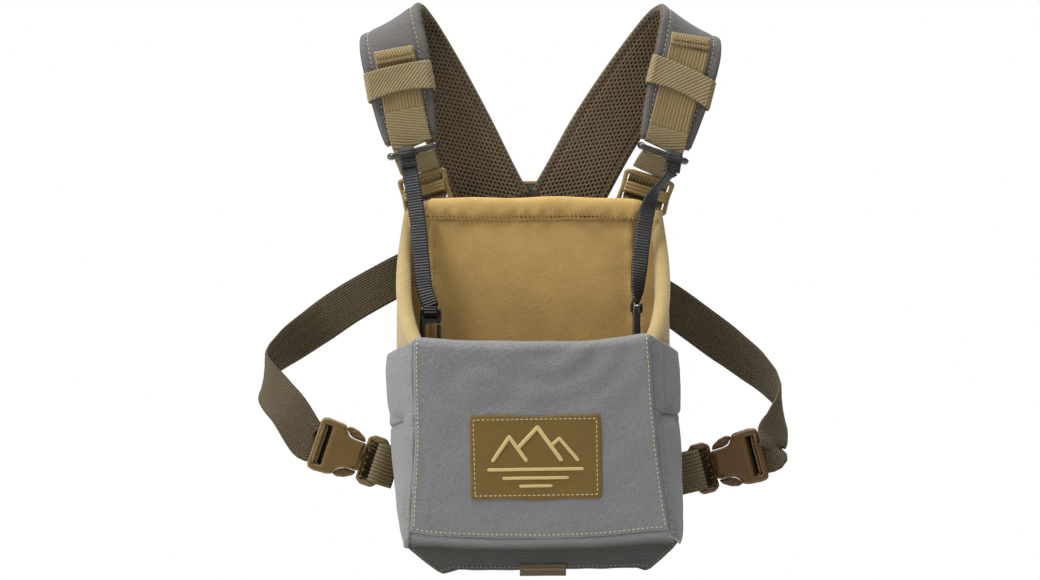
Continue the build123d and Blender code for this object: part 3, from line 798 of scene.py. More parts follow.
wt.links.new(both.outputs[0], wt.nodes["World Output"].inputs[0])


def lamp(name, loc, aim, size, power, color=(1, 1, 1), size_y=None):
    d = bpy.data.lights.new(name, "AREA")
    d.energy, d.color, d.size = power, color, size
    if size_y:
        d.shape, d.size_y = "RECTANGLE", size_y
    o = bpy.data.objects.new(name, d)
    o.location = loc
    o.rotation_euler = (Vector(aim) - Vector(loc)).to_track_quat("-Z", "Y").to_euler()
    scene.collection.objects.link(o)
    return o


lamp("key", (-1.20, -0.70, 1.85), (0, -0.03, 0.05), 0.7, 46.0, (1.0, 0.985, 0.96))
lamp("fill", (0.9, -1.6, 0.6), (0, -0.03, 0.02), 1.0, 3.5, (0.97, 0.985, 1.0))
lamp("top", (0.10, -0.10, 1.65), (0, -0.02, 0.05), 0.7, 24.0)
lamp("left", (-1.7, -0.3, 0.3), (0, -0.02, 0.03), 0.8, 13.0)
lamp("back", (0.4, 1.7, 0.9), (0, 0.0, 0.05), 1.0, 14.0)


# ------------------------------------------------------------------ tethers: the cords, with the same route points as the CAD
TETHER = {
    "left": [(-76.2, -15.2, 131.0), (-75.2, -16.3, 125.2), (-72.7, -19.4, 111.5), (-70.9, -22.6, 98.5), (-69.4, -25.6, 83.0),
             (-68.0, -28.6, 68.5), (-66.9, -31.4, 58.0), (-64.7, -33.4, 50.6), (-62.6, -34.4, 45.2)],
    "right": [(85.6, -15.2, 129.6), (82.2, -16.0, 125.0), (76.4, -17.6, 118.6), (71.6, -19.9, 110.0), (69.0, -22.0, 100.0),
              (67.2, -24.6, 88.0), (65.7, -27.4, 75.0), (64.5, -30.2, 64.0), (63.5, -32.6, 54.5), (63.2, -33.8, 47.2)],
}
RING = {"left": ((-73.8, 141.2), 14.7), "right": ((80.1, 139.7), -19.8)}
LOOP_AT = {"left": -4.3, "right": 7.2}
CLIP_TOP = {"left": 45.2, "right": 47.2}


def spline_line(pts):
    """The route's own NURBS spline, read back as points, in mm."""
    cu = bpy.data.curves.new("route", "CURVE")
    cu.dimensions = "3D"
    sp = cu.splines.new("NURBS")
    sp.points.add(len(pts) - 1)
    for p, c in zip(sp.points, pts):
        p.co = (c[0] * MM, c[1] * MM, c[2] * MM, 1)
    sp.order_u = 3
    sp.use_endpoint_u = True
    cu.resolution_u = 12
    tmp = bpy.data.objects.new("route", cu)
    me = bpy.data.meshes.new_from_object(tmp)
    line = np.array([v.co for v in me.vertices], float) / MM
    bpy.data.objects.remove(tmp)
    bpy.data.curves.remove(cu)
    bpy.data.meshes.remove(me)
    return line


def tape_grid(line, W, width, cols=13):
    t = norm(np.gradient(line, axis=0))
    w = norm(W - t * (t * W).sum(1, keepdims=True))
    n = norm(np.cross(t, w))
    a = np.linspace(-1, 1, cols)
    P = line[:, None] + w[:, None] * (a[None, :, None] * width[:, None, None] / 2)
    v = np.concatenate([[0], np.cumsum(np.linalg.norm(np.diff(line, axis=0), axis=1))])
    U = a[None] * width[:, None] / 2
    return P, np.broadcast_to(n[:, None], P.shape).copy(), U, np.broadcast_to(v[:, None], U.shape).copy()


def resample(line, step):
    s = np.concatenate([[0], np.cumsum(np.linalg.norm(np.diff(line, axis=0), axis=1))])
    f = np.linspace(0, s[-1], int(s[-1] / step) + 1)
    return np.stack([np.interp(f, s, line[:, k]) for k in range(3)], 1)


for side, name in ((-1, "left"), (1, "right")):
    route = spline_line(TETHER[name])
    line = resample(route, 0.6)
    (rx, rz), ang = RING[name]
    e = np.array([math.cos(math.radians(ang)), 0, math.sin(math.radians(ang))])
    k = np.linspace(0, 1, len(line))
    # the left tape faces forward all the way; the right one turns edge-on at the top and again at its clip
    if side < 0:
        ang_w = np.interp(k, [0, 0.12, 0.5, 0.9, 1], [14, 10, 2, 4, 6])
    else:
        ang_w = np.interp(k, [0, 0.04, 0.10, 0.17, 0.25, 0.36, 0.7, 0.9, 1], [-24, -56, -66, -62, -38, -12, -8, -38, -80])
    aw = np.radians(ang_w)
    if side < 0:
        W = np.stack([np.cos(aw), 0 * aw, np.sin(aw)], 1)
    else:
        W = np.stack([np.cos(aw), -np.sin(aw), 0 * aw], 1)
    width = np.interp(k, [0, 0.03, 0.97, 1], [9.8, 9.9, 9.9, 9.6])
    P, N, U, V = tape_grid(line, W, width)
    # woven cross ribs: real geometry, as the tape shows
    rib = 0.2 * np.sin(V * 2 * math.pi / 1.75)
    tape = padded_sheet(f"tether_tape_{name}", P, 1.8, U, V, N=N, edge=0.8, thin=0.45, top=rib, bottom=rib, mats=(BLACK_TAPE,))
    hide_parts(f"tether_{name}")
    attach(tape, f"tether_{name}")
    # sewn loop round the ring's front bar
    c = np.array([rx, -14.05, rz]) + e * LOOP_AT[name]
    st = np.array(TETHER[name][0], float)
    down = norm(st - c)
    up = -down
    fw = np.cross(e, up)
    if fw[1] > 0:
        fw = -fw
    r = 3.35
    a = np.linspace(-0.35 * math.pi, 1.35 * math.pi, 26)
    arc = [c + fw * (r * math.cos(x)) + up * (r * math.sin(x)) for x in a]
    low = c + down * 9.0
    start = low + fw * 1.15
    end_ = low - fw * 1.15
    path = np.array([start + (arc[0] - start) * t for t in np.linspace(0, 1, 8)[:-1]] + arc + [arc[-1] + (end_ - arc[-1]) * t for t in np.linspace(0, 1, 8)[1:]])
    path = resample(path, 0.55)
    P, N, U, V = tape_grid(path, np.broadcast_to(e, path.shape), np.full(len(path), 9.9), 11)
    rib = 0.16 * np.sin(V * 2 * math.pi / 1.55)
    loop = padded_sheet(f"tether_loop_tape_{name}", P, 1.7, U, V, N=N, edge=0.8, thin=0.45, top=rib, bottom=rib, mats=(BLACK_TAPE,))
    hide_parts(f"tether_loop_{name}")
    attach(loop, f"tether_{name}")
    # box of black thread across the doubled tape
    rows = []
    for d in (4.9, 6.3, 7.7):
        q = c + down * d + fw * (2.1)
        rows.append((np.array([q - e * 4.2, q, q + e * 4.2]), fw))
    bt = stitches(f"tether_bartack_{name}", rows, f"tether_{name}", BLACK_TAPE, length=1.4, gap=0.3, rad=0.28)
    # snap clip: a rounded hook plate with its eye, and a sprung gate
    ex, ey, _ = TETHER[name][-1]
    top = CLIP_TOP[name]
    X, Y = ((1, 0, 0), (0, 0, 1)) if side < 0 else ((0, 1, 0), (0, 0, 1))
    M = frame_of((ex, ey, top), X, Y)
    outer = poly_round([(-6.2, 0), (6.2, 0), (6.6, -4), (6.3, -9.2), (3.6, -10.2), (3.6, -20.4), (6.6, -21.2), (6.3, -25), (3.2, -27.2),
                        (-3.4, -27.2), (-6.6, -24.4), (-6.7, -5)], [2.6, 2.6, 2, 1.4, 0.8, 0.8, 1.2, 3, 3.2, 3.2, 3.4, 3], 5)
    holes = [rect(-4.6, 4.6, -6.2, -3.0, 0.9)]
    inner = poly_round([(-3.5, -9.6), (3.8, -9.6), (3.8, -21.6), (2.2, -23.8), (-2.2, -23.8), (-3.5, -21.6)], [2.4, 0.2, 0.2, 1.6, 1.6, 2.2], 5)
    opening = raw_plate(inner, [], 12, 0.01, M, 0)
    clip = plate(f"clip_body_{name}", outer, holes, 4.6, 1.25, M, (BLACK_PL,), f"tether_{name}", (f"clip_{name}",), [opening], res=3)
    gm = M @ Matrix.Translation((5.0 * MM, 0, -0.0))
    g = raw_plate(rect(-1.25, 1.25, -20.2, -10.3, 1.0), [], 3.4, 0.8, gm, 3)
    finish_hard(f"clip_gate_bar_{name}", g, (BLACK_PL,), f"gate_{name}", (f"clip_gate_{name}",))
    # the tape's end folded through the eye
    q = np.array([ex, ey, top - 4.6])
    Xv = np.array(X, float)
    Fv = np.cross(Xv, [0, 0, 1.0])
    a = np.linspace(-0.5 * math.pi, 0.5 * math.pi, 8)
    fold = [q + Fv * 2.9 * (1 if True else 0) + np.array([0, 0, 5.2]), q + Fv * 3.1 + np.array([0, 0, 2.4]), q + Fv * 3.0 + np.array([0, 0, 0.4])]
    fold += [q + Fv * 1.6 + np.array([0, 0, -0.9]), q + np.array([0, 0, -1.0]), q - Fv * 1.6 + np.array([0, 0, -0.9])]
    fold += [q - Fv * 3.0 + np.array([0, 0, 0.4]), q - Fv * 3.1 + np.array([0, 0, 2.4]), q - Fv * 2.9 + np.array([0, 0, 5.2]), q - Fv * 1.0 + np.array([0, 0, 8.2])]
    rows, _ = smooth_rows(np.array([list(p) + [0] for p in fold]), 0.5)
    P, N, U, V = tape_grid(rows[:, :3], np.broadcast_to(Xv, rows[:, :3].shape), np.full(len(rows), 8.8), 9)
    ft = padded_sheet(f"tether_end_{name}", P, 1.3, U, V, N=N, edge=0.6, thin=0.45, mats=(BLACK_TAPE,))
    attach(ft, f"tether_{name}")


# ------------------------------------------------------------------ lid: one padded sheet over the fold, two side flaps, an end flap
LZ = [25.8, 12.6, -12.6, -37.8, -63.0, -88.2, -96.0]
LX = [-71.3, -72.0, -71.2, -70.8, -72.3, -73.6, -74.6]
RZ = [30.0, 12.6, -12.6, -37.8, -63.0, -83.4, -96.0]
RX = [69.0, 70.6, 71.9, 74.3, 77.4, 81.0, 82.4]


def lid_left(z):
    return smoothfit(LZ, LX, z)


def lid_right(z):
    return smoothfit(RZ, RX, z)


def fold_top(x):
    return smoothfit([-90, -73, -60, -44, -2, 34, 56, 66, 72, 90], [25.5, 26.2, 25.2, 24.3, 23.6, 24.2, 26.6, 29.0, 28.2, 24], x, 7)


def end_seam(x):
    return smoothfit([-80, -75.3, -57.9, -22.5, 9.3, 40.6, 66.4, 82.6, 90], [-89.4, -89.8, -92.4, -93.7, -93.7, -92.4, -89.8, -88.6, -88.4], x, 7)


def lid_wrinkle(x, z):
    """Heights of the soft folds on the lid's face, in mm."""
    h = 0.75 * wav(x / 19.0, z / 16.0, 5, 3)
    r = np.hypot((x - 6) / 1.25, z - 30)
    h = h + 0.42 * np.sin(r / 2.6 + 0.8 * wav(x / 26, z / 26, 9, 2)) * np.exp(-((r - 26) / 24) ** 2)
    r2 = np.hypot((x + 30) / 1.5, z + 2)
    h = h + 0.32 * np.sin(r2 / 2.8) * np.exp(-((r2 - 12) / 14) ** 2)
    h = h + 0.30 * np.exp(-((z + 71) / 5) ** 2) * np.sin(x / 21 + 1)
    return h


a = np.linspace(-1, 1, 141)
fold_n, flat_n = 16, 110
P = np.zeros((fold_n + flat_n, len(a), 3))
for j in range(fold_n + flat_n):
    for it in range(2):
        if j < fold_n:
            zz = np.full(len(a), 24.0)
        else:
            zz = None
        x_guess = a * 72 if it == 0 else x
        top_z = fold_top(x_guess)
        if j < fold_n:
            th = math.pi * j / fold_n
            z = top_z - 4.3 + 4.3 * math.sin(th) - (1.6 * math.cos(th) if th < math.pi / 2 else 0)
            y = -75.0 + 3.9 * math.cos(th)
            y = np.full(len(a), y)
        else:
            f = (j - fold_n) / (flat_n - 1)
            z = (top_z - 4.3) * (1 - f) + (end_seam(x_guess) + 0.6) * f
            y = np.full(len(a), -78.9)
        xl, xr = lid_left(np.minimum(z, 24)), lid_right(np.minimum(z, 24))
        x = xl - 0.3 + (xr - xl + 0.6) * (a + 1) / 2
    P[j, :, 0], P[j, :, 1], P[j, :, 2] = x, y, z
lp = P.copy()
x, z = P[..., 0], P[..., 2]
zf = np.clip((z - (end_seam(x))) / 12, 0, 1)
edge_k = np.clip(np.minimum(x - lid_left(z), lid_right(z) - x) / 10, 0, 1)
crown = 0.75 * np.sqrt(np.clip(edge_k, 0, 1)) * np.sqrt(zf)
front = np.zeros(P.shape[:2])
front[fold_n:] = 1
front[:fold_n] = (np.arange(fold_n) / fold_n)[:, None] ** 2
sdist = np.minimum(x - lid_left(z), lid_right(z) - x)
pk = 0.42 * np.cos(z * 2 * math.pi / 2.8 + 0.5 * np.sin(z / 9.0)) * np.exp(-((sdist - 1.2) / 1.7) ** 2)
zd = z - end_seam(x)
pk2 = 0.42 * np.cos(x * 2 * math.pi / 2.8) * np.exp(-((zd - 1.6) / 1.7) ** 2)
P[..., 1] -= (crown + (pk + pk2) * 0.55 + lid_wrinkle(x, z) * np.clip(edge_k * 1.4, 0, 1) * np.clip(zf * 1.2, 0, 1)) * front
# flutes that gather the cloth at the top fold
flute = np.exp(-((z - (fold_top(x) - 3)) / 7) ** 2) * 0.35 * wav(x / 7.0, z / 30.0, 21, 2)
P[..., 1] -= flute * front
P[..., 2] += 0.25 * wav(x / 9.0, x * 0, 3, 2) * np.exp(-((z - fold_top(x)) / 5) ** 2)
s_rows = np.concatenate([[0], np.cumsum(np.linalg.norm(np.diff(P[:, 70], axis=0), axis=1))])
U, V = x, np.broadcast_to(s_rows[:, None], x.shape)
lid_ob = padded_sheet("lid_shell", P, 2.7, U, V, edge=2.0, thin=0.45, mats=(GRAY, LINING, GRAY), replaces=("lid_panel",))
LIDP = P
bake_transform(lid_ob)


def surf_y(x, z):
    """Front face of the lid at x, z."""
    d = (LIDP[fold_n:, :, 0] - x) ** 2 + (LIDP[fold_n:, :, 2] - z) ** 2
    i = np.unravel_index(np.argmin(d), d.shape)
    return LIDP[fold_n:][i][1] - 1.35


def wing(side, name):
    seam_x = lid_left if side < 0 else lid_right
    if side < 0:
        oz = [16.6, 12.0, 0.0, -14.0, -21.5, -25.0, -29.5, -50.0, -70.0, -83.6, -95.0, -100.0]
        ox = [-87.2, -89.2, -88.6, -87.6, -86.4, -85.4, -86.2, -84.4, -82.0, -80.3, -78.2, -75.9]
    else:
        oz = [17.8, 13.0, 0.0, -14.0, -20.0, -24.2, -29.0, -51.9, -72.0, -89.6, -97.5, -101.0]
        ox = [87.2, 88.9, 89.3, 88.9, 87.6, 87.2, 88.4, 89.4, 89.6, 89.5, 88.2, 85.6]
    rows, cols = 132, 42
    f = np.linspace(0, 0.88, rows)
    if side < 0:
        fi, zi = [0, 0.88, 1.0], [25.6, -93.0, -114.5]
        xi = [None, -74.0, -58.6]
        fo, zo, xo = [0.88, 0.93, 1.0], [-99.6, -103.6, -117.0], [-76.2, -73.4, -59.6]
    else:
        fi, zi = [0, 0.88, 1.0], [29.2, -92.5, -111.5]
        xi = [None, 82.6, 73.4]
        fo, zo, xo = [0.88, 0.93, 1.0], [-97.4, -101.0, -111.8], [88.2, 86.2, 76.9]
    z_in = np.interp(f, fi, zi)
    z_out = np.where(f < fo[0], oz[0] + (zo[0] - oz[0]) * np.clip(f / fo[0], 0, 1), np.interp(f, fo, zo))
    low_f = np.clip((f - 0.88) / 0.12, 0, 1)
    xin = np.where(low_f > 0, xi[1] + (xi[2] - xi[1]) * low_f, seam_x(np.maximum(z_in, -93.0))) + side * 0.2
    xout = np.where(f < fo[0], smoothfit(oz, ox, np.maximum(z_out, -97.5), 3), np.interp(f, fo, xo))
    c = np.linspace(0, 1, cols)
    X = xin[:, None] + (xout - xin)[:, None] * c[None]
    Z = z_in[:, None] + (z_out - z_in)[:, None] * c[None] ** 0.9
    dist = np.abs(X - xin[:, None])
    drop = np.maximum(0, -92.5 - z_in)[:, None] * 0.9
    Y = -78.7 + drop * (1 - 0.1 * c[None]) + np.minimum(dist * 2.05, 34 + dist * 0.1) * (1 - 0.55 * low_f[:, None])
    P = np.stack([X, Y, Z], -1)
    if side < 0:
        P = P[:, ::-1]
    N = grid_normals(P)
    X, Y, Z = P[..., 0], P[..., 1], P[..., 2]
    dist = np.abs(X - np.where(Z < -93, X[:, -1:] if side < 0 else X[:, :1], seam_x(Z)))
    pk = 0.3 * np.cos(Z * 2 * math.pi / 2.8 + 0.5 * np.sin(Z / 9.0)) * np.exp(-((dist - 1.0) / 1.8) ** 2)
    # rounded over near the seam, with soft puckers, and pulled in at the tack
    c2 = c[::-1] if side < 0 else c
    bulge = 1.9 * np.sin(np.pi * np.clip(c2, 0, 1))[None] ** 0.7 * (0.85 + 0.25 * wav(Z / 18.0, dist / 9.0, 31 + side, 3))
    puck = 0.5 * wav(Z / 6.5, dist / 16.0, 41 + side, 3) * np.exp(-(dist / 11.0) ** 2)
    tz, tx = (-23.8, -78.8) if side < 0 else (-18.6, 78.3)
    rr = np.hypot((X - tx) / 1.0, (Z - tz) / 1.3)
    dim = 3.0 * np.exp(-(rr / 4.2) ** 2)
    line = np.exp(-((Z - (tz - (dist - abs(tx - seam_x(np.array([tz]))[0])) * (0.55 if side < 0 else 0.1))) / 1.3) ** 2) * 1.5 * ss(np.abs(X), abs(tx) - 1, abs(tx) + 2)
    rays = (0.45 if side < 0 else 0.8) * np.sin(4.0 * np.arctan2(Z - tz, X - tx) + 0.7) * np.exp(-((rr - 6) / 4.5) ** 2)
    crease = 0.0
    if side > 0:
        crease = 1.4 * np.exp(-((X - 76.8) / 0.9) ** 2) * ss(Z, -28, -10)
    bulge = bulge * (1 - 0.6 * low_f[:, None]) * (1 - np.exp(-(dist / 2.0) ** 2) * 0.7)
    P = P + N * (bulge + puck + pk - dim - line + rays - crease)[..., None]
    s_v = np.concatenate([[0], np.cumsum(np.linalg.norm(np.diff(P[:, 20], axis=0), axis=1))])
    s_u = np.concatenate([[0], np.cumsum(np.linalg.norm(np.diff(P[60], axis=0), axis=1))])
    ob = padded_sheet(f"lid_side_flap_{name}", P, 2.7, np.broadcast_to(s_u[None], X.shape), np.broadcast_to(s_v[:, None], X.shape), edge=1.8, thin=0.45,
                      mats=(GRAY, LINING, GRAY), replaces=(f"lid_wing_{name}",))
    top, bot = np.array([side * 72.0, -78.1, 24.4]), np.array([side * 79.0, -78.1, -94.5])
    al = norm(bot - top)
    outw = np.array([side * math.cos(math.radians(64)), math.sin(math.radians(64)), 0])
    outw = norm(outw - al * (al @ outw))
    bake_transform(ob)
    return P


WINGP = {"left": wing(-1, "left"), "right": wing(1, "right")}

# end flap
ecols, erows = 130, 40
ca = np.linspace(0, 1, ecols)
fb = np.linspace(0, 1, erows)
xt = -74.9 + (82.2 + 74.9) * ca
xb = -57.4 + (71.0 + 57.4) * ca
zt = end_seam(xt) + 0.9
zig = 0.9 * wav(xb / 11.0, xb * 0, 13, 3)
zb = np.interp(ca, [0, 0.03, 0.10, 0.5, 0.93, 0.97, 1.0], [-114.0, -116.0, -113.4, -113.0, -112.0, -114.0, -112.6]) + zig * 0.5
sh = fb[:, None] ** np.interp(ca, [0, 0.1, 0.9, 1], [0.9, 1, 1, 0.9])[None]
slant = np.clip((fb - 0.34) / 0.66, 0, 1)
lf = np.interp(fb, [0, 0.34, 1], [-75.3, -76.2, -57.8])
rf = np.interp(fb, [0, 0.28, 1], [83.0, 87.2, 71.4])
X = lf[:, None] + (rf - lf)[:, None] * ca[None]
# corners cut on a slant at both ends
Z = zt[None] + (zb - zt)[None] * sh
Y = -78.5 + (zt[None] - Z) * 0.90 + 5.0 * ss(X, 81.5, 87.5)
P = np.stack([X, Y, Z], -1)
N = grid_normals(P)
h = 1.0 * np.sin(np.pi * fb[:, None] ** 0.8) * np.sin(np.pi * ca[None]) ** 0.3 + 0.45 * wav(X / 10.0, Z / 9.0, 17, 3) + 0.25 * np.cos(X * 2 * math.pi / 2.8) * np.exp(-((zt[None] - Z - 1.6) / 1.7) ** 2) + 0.25 * wav(X / 3.6, Z / 22.0, 19, 2) * fb[:, None]
P = P + N * h[..., None]
s_v = np.concatenate([[0], np.cumsum(np.linalg.norm(np.diff(P[:, 60], axis=0), axis=1))])
ENDP = P
# v starts at 140 so the painted shade of GRAY_END begins a few millimetres below the flap's top edge
end_ob = padded_sheet("lid_end_shell", P, 2.8, X, np.broadcast_to(s_v[:, None], X.shape) + 140.0, edge=2.0, thin=0.35, mats=(GRAY_END, LINING, GRAY_END),
                      replaces=("lid_end_flap", "lid_magnet_left", "lid_magnet_right"))
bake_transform(end_ob)


def row_normals(P, j, inset):
    return P[j], grid_normals(P)[j]


def on_grid(P, i, j, lift):
    """Points of grid line i, j lifted off the face; i or j may be a slice."""
    N = grid_normals(P)
    return P[i, j] + N[i, j] * lift, N[i, j]


# stitch lines: beside each side seam, above and below the end seam, and round the end flap
seam_lines = []
for c in (2, -3):
    pts, nr = on_grid(LIDP, slice(fold_n - 6, -3), c, 1.3)
    seam_lines.append((pts, nr))
pts, nr = on_grid(LIDP, -3, slice(3, -3), 1.25)
seam_lines.append((pts, nr))
st_lid = stitches("lid_stitches", seam_lines, None, THREAD, length=1.75, gap=1.15, rad=0.33)
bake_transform(st_lid)
e_lines = []
for c in (3, -4):
    e_lines.append(on_grid(ENDP, slice(3, -3), c, 1.2))
e_lines.append(on_grid(ENDP, -6, slice(4, -4), 1.25))
st_end = stitches("lid_end_stitches", e_lines, None, THREAD_TAN, length=1.6, gap=1.2, rad=0.26)
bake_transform(st_end)

# ---- patch
def patch_frame():
    c = np.array([1.2, -80.1, -44.5])
    r = math.radians(0.8)
    return c, np.array([math.cos(r), 0, math.sin(r)]), np.array([-math.sin(r), 0, math.cos(r)])


pc, pX, pZ = patch_frame()
pu, pv = np.linspace(-39.5, 39.5, 100), np.linspace(25.25, -25.25, 66)
PU, PV = np.meshgrid(pu, pv)
wobx = 0.6 * wav(PV / 6, PU * 0, 51, 2) * (np.abs(PU) / 39.5) ** 4
wobz = 0.65 * wav(PU / 8, PV * 0, 53, 2) * (np.abs(PV) / 25.25) ** 4
A = PU + wobx
B = PV + wobz
A = A - np.sign(PU) * 0.9 * (np.abs(PU) / 39.5) ** 10 * (np.abs(PV) / 25.25) ** 10
P = pc + A[..., None] * pX + B[..., None] * pZ
lidh = crown.mean() + 0.6
P[..., 1] = -81.15 - 0.35 * np.cos(PU / 39.5 * 1.2) - lid_wrinkle(P[..., 0], P[..., 2]) * 0.55 + 0.15
PATP = P
patch_ob = padded_sheet("patch_badge", P, 1.3, A + 60, B, edge=0.7, thin=0.5, mats=(PATCH,), body="lid", replaces=("patch",))


def on_patch(pts, lift=0.75):
    out = []
    for u, v in pts:
        i = int(np.clip(round((25.25 - v) / 50.5 * 65), 0, 65))
        j = int(np.clip(round((u + 39.5) / 79 * 99), 0, 99))
        q = pc + u * pX + v * pZ
        q[1] = PATP[i, j, 1] - lift
        out.append(q)
    return np.array(out)


def dense(pts, step=0.8):
    out = []
    for p, q in zip(pts, pts[1:]):
        k = max(1, int(math.hypot(q[0] - p[0], q[1] - p[1]) / step))
        out += [(p[0] + (q[0] - p[0]) * i / k, p[1] + (q[1] - p[1]) * i / k) for i in range(k)]
    return out + [pts[-1]]


frame_pts = dense(poly_round([(-37, -22.8), (37, -22.8), (37, 22.8), (-37, 22.8)], 1.2) + [(-37 + 0.6, -22.8)])
stitches("patch_stitches", [(on_patch(frame_pts, 0.62), np.array([0, -1.0, 0]))], "lid", THREAD, length=2.0, gap=0.9, rad=0.3)

def satin(name, pts, w, lift=0.85):
    d = dense(pts, 0.5)
    c = on_patch(d, lift)
    t = norm(np.gradient(c, axis=0))
    W = np.cross(t, [0, 1.0, 0])
    k = np.linspace(0, 1, len(c))
    taper = np.clip(np.minimum(k, 1 - k) * len(c) / 2.0, 0.25, 1) ** 0.5
    return tube(name, c, w / 2, W=W, sides=12, flat=0.30, radii=w / 2 * taper, mats=(EMB,), body="lid")


# a plain motif of the builder's own: three peaks over water lines
satin("motif_peak_a", [(-26, -2.5), (-15.5, 12.5), (-5, -2.5)], 2.3)
satin("motif_peak_b", [(-10.5, 5.5), (1.5, 18.0), (16, -2.5)], 2.5)
satin("motif_peak_c", [(9.5, 6.8), (14.5, 11.2), (26, -2.5)], 2.1)
satin("motif_line_a", [(-29, -7.2), (29, -7.2)], 2.0)
satin("motif_line_b", [(-20, -12.4), (20, -12.4)], 1.9)
satin("motif_line_c", [(-10, -17.2), (10, -17.2)], 1.8)

# ---- pull tab and its tack
pt = np.array([[5.5 - 22.4 + 44.8 * (j / 30), 0, 0] for j in range(31)])
rows = np.linspace(0, 1, 12)
P = np.zeros((12, 31, 3))
for i, f in enumerate(rows):
    P[i, :, 0] = 5.8 + np.linspace(-14.0, 14.0, 31)
    P[i, :, 2] = -108.6 - 7.6 * f
    P[i, :, 1] = -65.4 + 6.9 * f
N = grid_normals(P)
P += N * (1.2 + 0.2 * wav(P[..., 0] / 9, P[..., 2] / 9, 3, 2))[..., None]
tab = padded_sheet("pull_tab_web", P, 1.5, P[..., 2] * 1.3, P[..., 0], edge=0.8, thin=0.5, mats=(BROWN_WEB,), body="lid_end", replaces=("pull_tab",))
zz = []
for k in range(30):
    x0 = 5.8 - 13 + 26 * k / 29
    zz.append(x0)
tack = []
for d in (3.0,):
    pts = []
    for k, x0 in enumerate(zz):
        i = 3 if k % 2 else 5
        j = int(round((x0 - (5.8 - 14)) / 28 * 30))
        pts.append(P[i, j] + N[i, j] * 0.95)
    tack.append((np.array(pts), N[4, 15]))
stitches("pull_tab_tack", tack, "lid_end", thread_mat("tack_orange", (0.32, 0.13, 0.03)), length=2.6, gap=0.05, rad=0.3)


# ------------------------------------------------------------------ pouch: back lining, rolled top edge, side walls, front wall, rim, bottom
def panel(name, x0, x1, z0, z1, y, th, mats, replaces, body="pack", wave=0.5, seed=1, nx=90, nz=90, face=-1, edge=2.0, r=10.0, uvo=0.0):
    """A soft panel in the XZ plane with rounded corners; face is not used."""
    gx, gz = np.linspace(-1, 1, nx), np.linspace(1, -1, nz)
    X, Z = np.meshgrid(gx, gz)
    hx, hz = (x1 - x0) / 2, (z1 - z0) / 2
    AX, AZ = X * hx, Z * hz
    # pull the corners in to a radius
    ix, iz = np.maximum(np.abs(AX) - (hx - r), 0), np.maximum(np.abs(AZ) - (hz - r), 0)
    m = np.maximum(ix, iz)
    L = np.hypot(ix, iz)
    k = np.where(L > 1e-6, m / np.maximum(L, 1e-6), 1)
    AX = np.sign(AX) * (np.minimum(np.abs(AX), hx - r) + ix * k)
    AZ = np.sign(AZ) * (np.minimum(np.abs(AZ), hz - r) + iz * k)
    P = np.stack([(x0 + x1) / 2 + AX, np.full(AX.shape, float(y)), (z0 + z1) / 2 + AZ], -1)
    P[..., 0] *= 1 - 0.20 * ss(-P[..., 2], 60, 116)
    P[..., 1] -= wave * wav(P[..., 0] / 22, P[..., 2] / 26, seed, 3)
    return padded_sheet(name, P, th, P[..., 0] + uvo, P[..., 2], edge=edge, thin=0.3, mats=mats, body=body, replaces=replaces)


# back lining with its two upright seams and slack between them
nx, nz = 150, 150
X, Z = np.meshgrid(np.linspace(-76.5, 76.5, nx), np.linspace(100.6, -100, nz))
X = X * (1 - 0.20 * ss(-Z, 60, 116))
Y = -11.7 - 0.55 * wav(X / 24, Z / 30, 61, 3) - 0.18 * wav(X / 7, Z / 16, 62, 3)
seam_in = np.interp(Z, [-100, 50, 96], [-66, -64.6, -63.6])
for sgn in (-1, 1):
    d = X - sgn * np.abs(seam_in) - 0.8 * np.sin(Z / 17.0)
    Y = Y + 0.9 * np.exp(-(d / 1.1) ** 2) - 0.55 * np.exp(-((d + sgn * 3.4) / 2.6) ** 2)
    # short pulls that run in from the seam
    Y = Y - 0.28 * np.sin(Z / 2.6 + 2 * np.sin(Z / 15)) * np.exp(-((np.abs(d) - 3) / 4.0) ** 2)
Y = Y - 0.35 * np.sin(X / 2.9 + 1.3 * np.sin(X / 17)) * np.exp(-((Z - 96) / 3.5) ** 2)
P = np.stack([X, Y, Z], -1)
LINP = P
padded_sheet("back_lining_cloth", P, 2.6, X, Z, edge=1.4, thin=0.4, mats=(LINING, TWILL, LINING), body="pack", replaces=("back_lining",))
sl = []
for sgn in (-1, 1):
    j = int(np.argmin(np.abs(np.linspace(-76.5, 76.5, nx) - sgn * 61.4)))
    sl.append((P[2:112, j] + np.array([0, -1.45, 0]), np.array([0, -1.0, 0])))
stitches("lining_stitches", sl, "pack", THREAD_TAN, length=1.7, gap=1.0, rad=0.16)

# rolled top edge
L = 131.5
n_u, n_v = 420, 36
uu = np.linspace(-L / 2, L / 2, n_u)
ang = np.linspace(0, 2 * math.pi, n_v + 1)
rollP = np.zeros((n_u, n_v + 1, 3))
for i, x0 in enumerate(uu):
    e_ = 1 - abs(x0) / (L / 2)
    pinch = min(1.0, e_ / 0.05) ** 0.5
    pinch = 0.45 + 0.55 * pinch
    zc = 106.9 - 1.2 * (abs(x0) / 66) ** 3 + 0.35 * math.sin(x0 / 13.0)
    ry = 3.5 * (0.75 + 0.25 * pinch) + 0.25 * math.sin(x0 / 5.1 + 0.7)
    rz = 6.2 * pinch + 0.28 * math.sin(x0 / 7.3)
    for k_, t_ in enumerate(ang):
        cy, cz = math.cos(t_), math.sin(t_)
        py = -13.7 - ry * math.copysign(abs(cy) ** 0.8, cy)
        pz = zc + rz * math.copysign(abs(cz) ** 0.9, cz)
        # small gathers along the lower seam
        low_ = max(0.0, -cz)
        py -= 0.55 * low_ * math.sin(x0 / 1.9 + 1.6 * math.sin(x0 / 9.0)) * (1 if cy > 0 else 0.3)
        pz += 0.55 * low_ ** 4 * math.sin(x0 * 2 * math.pi / 2.6)
        rollP[i, k_] = (x0, py, pz)
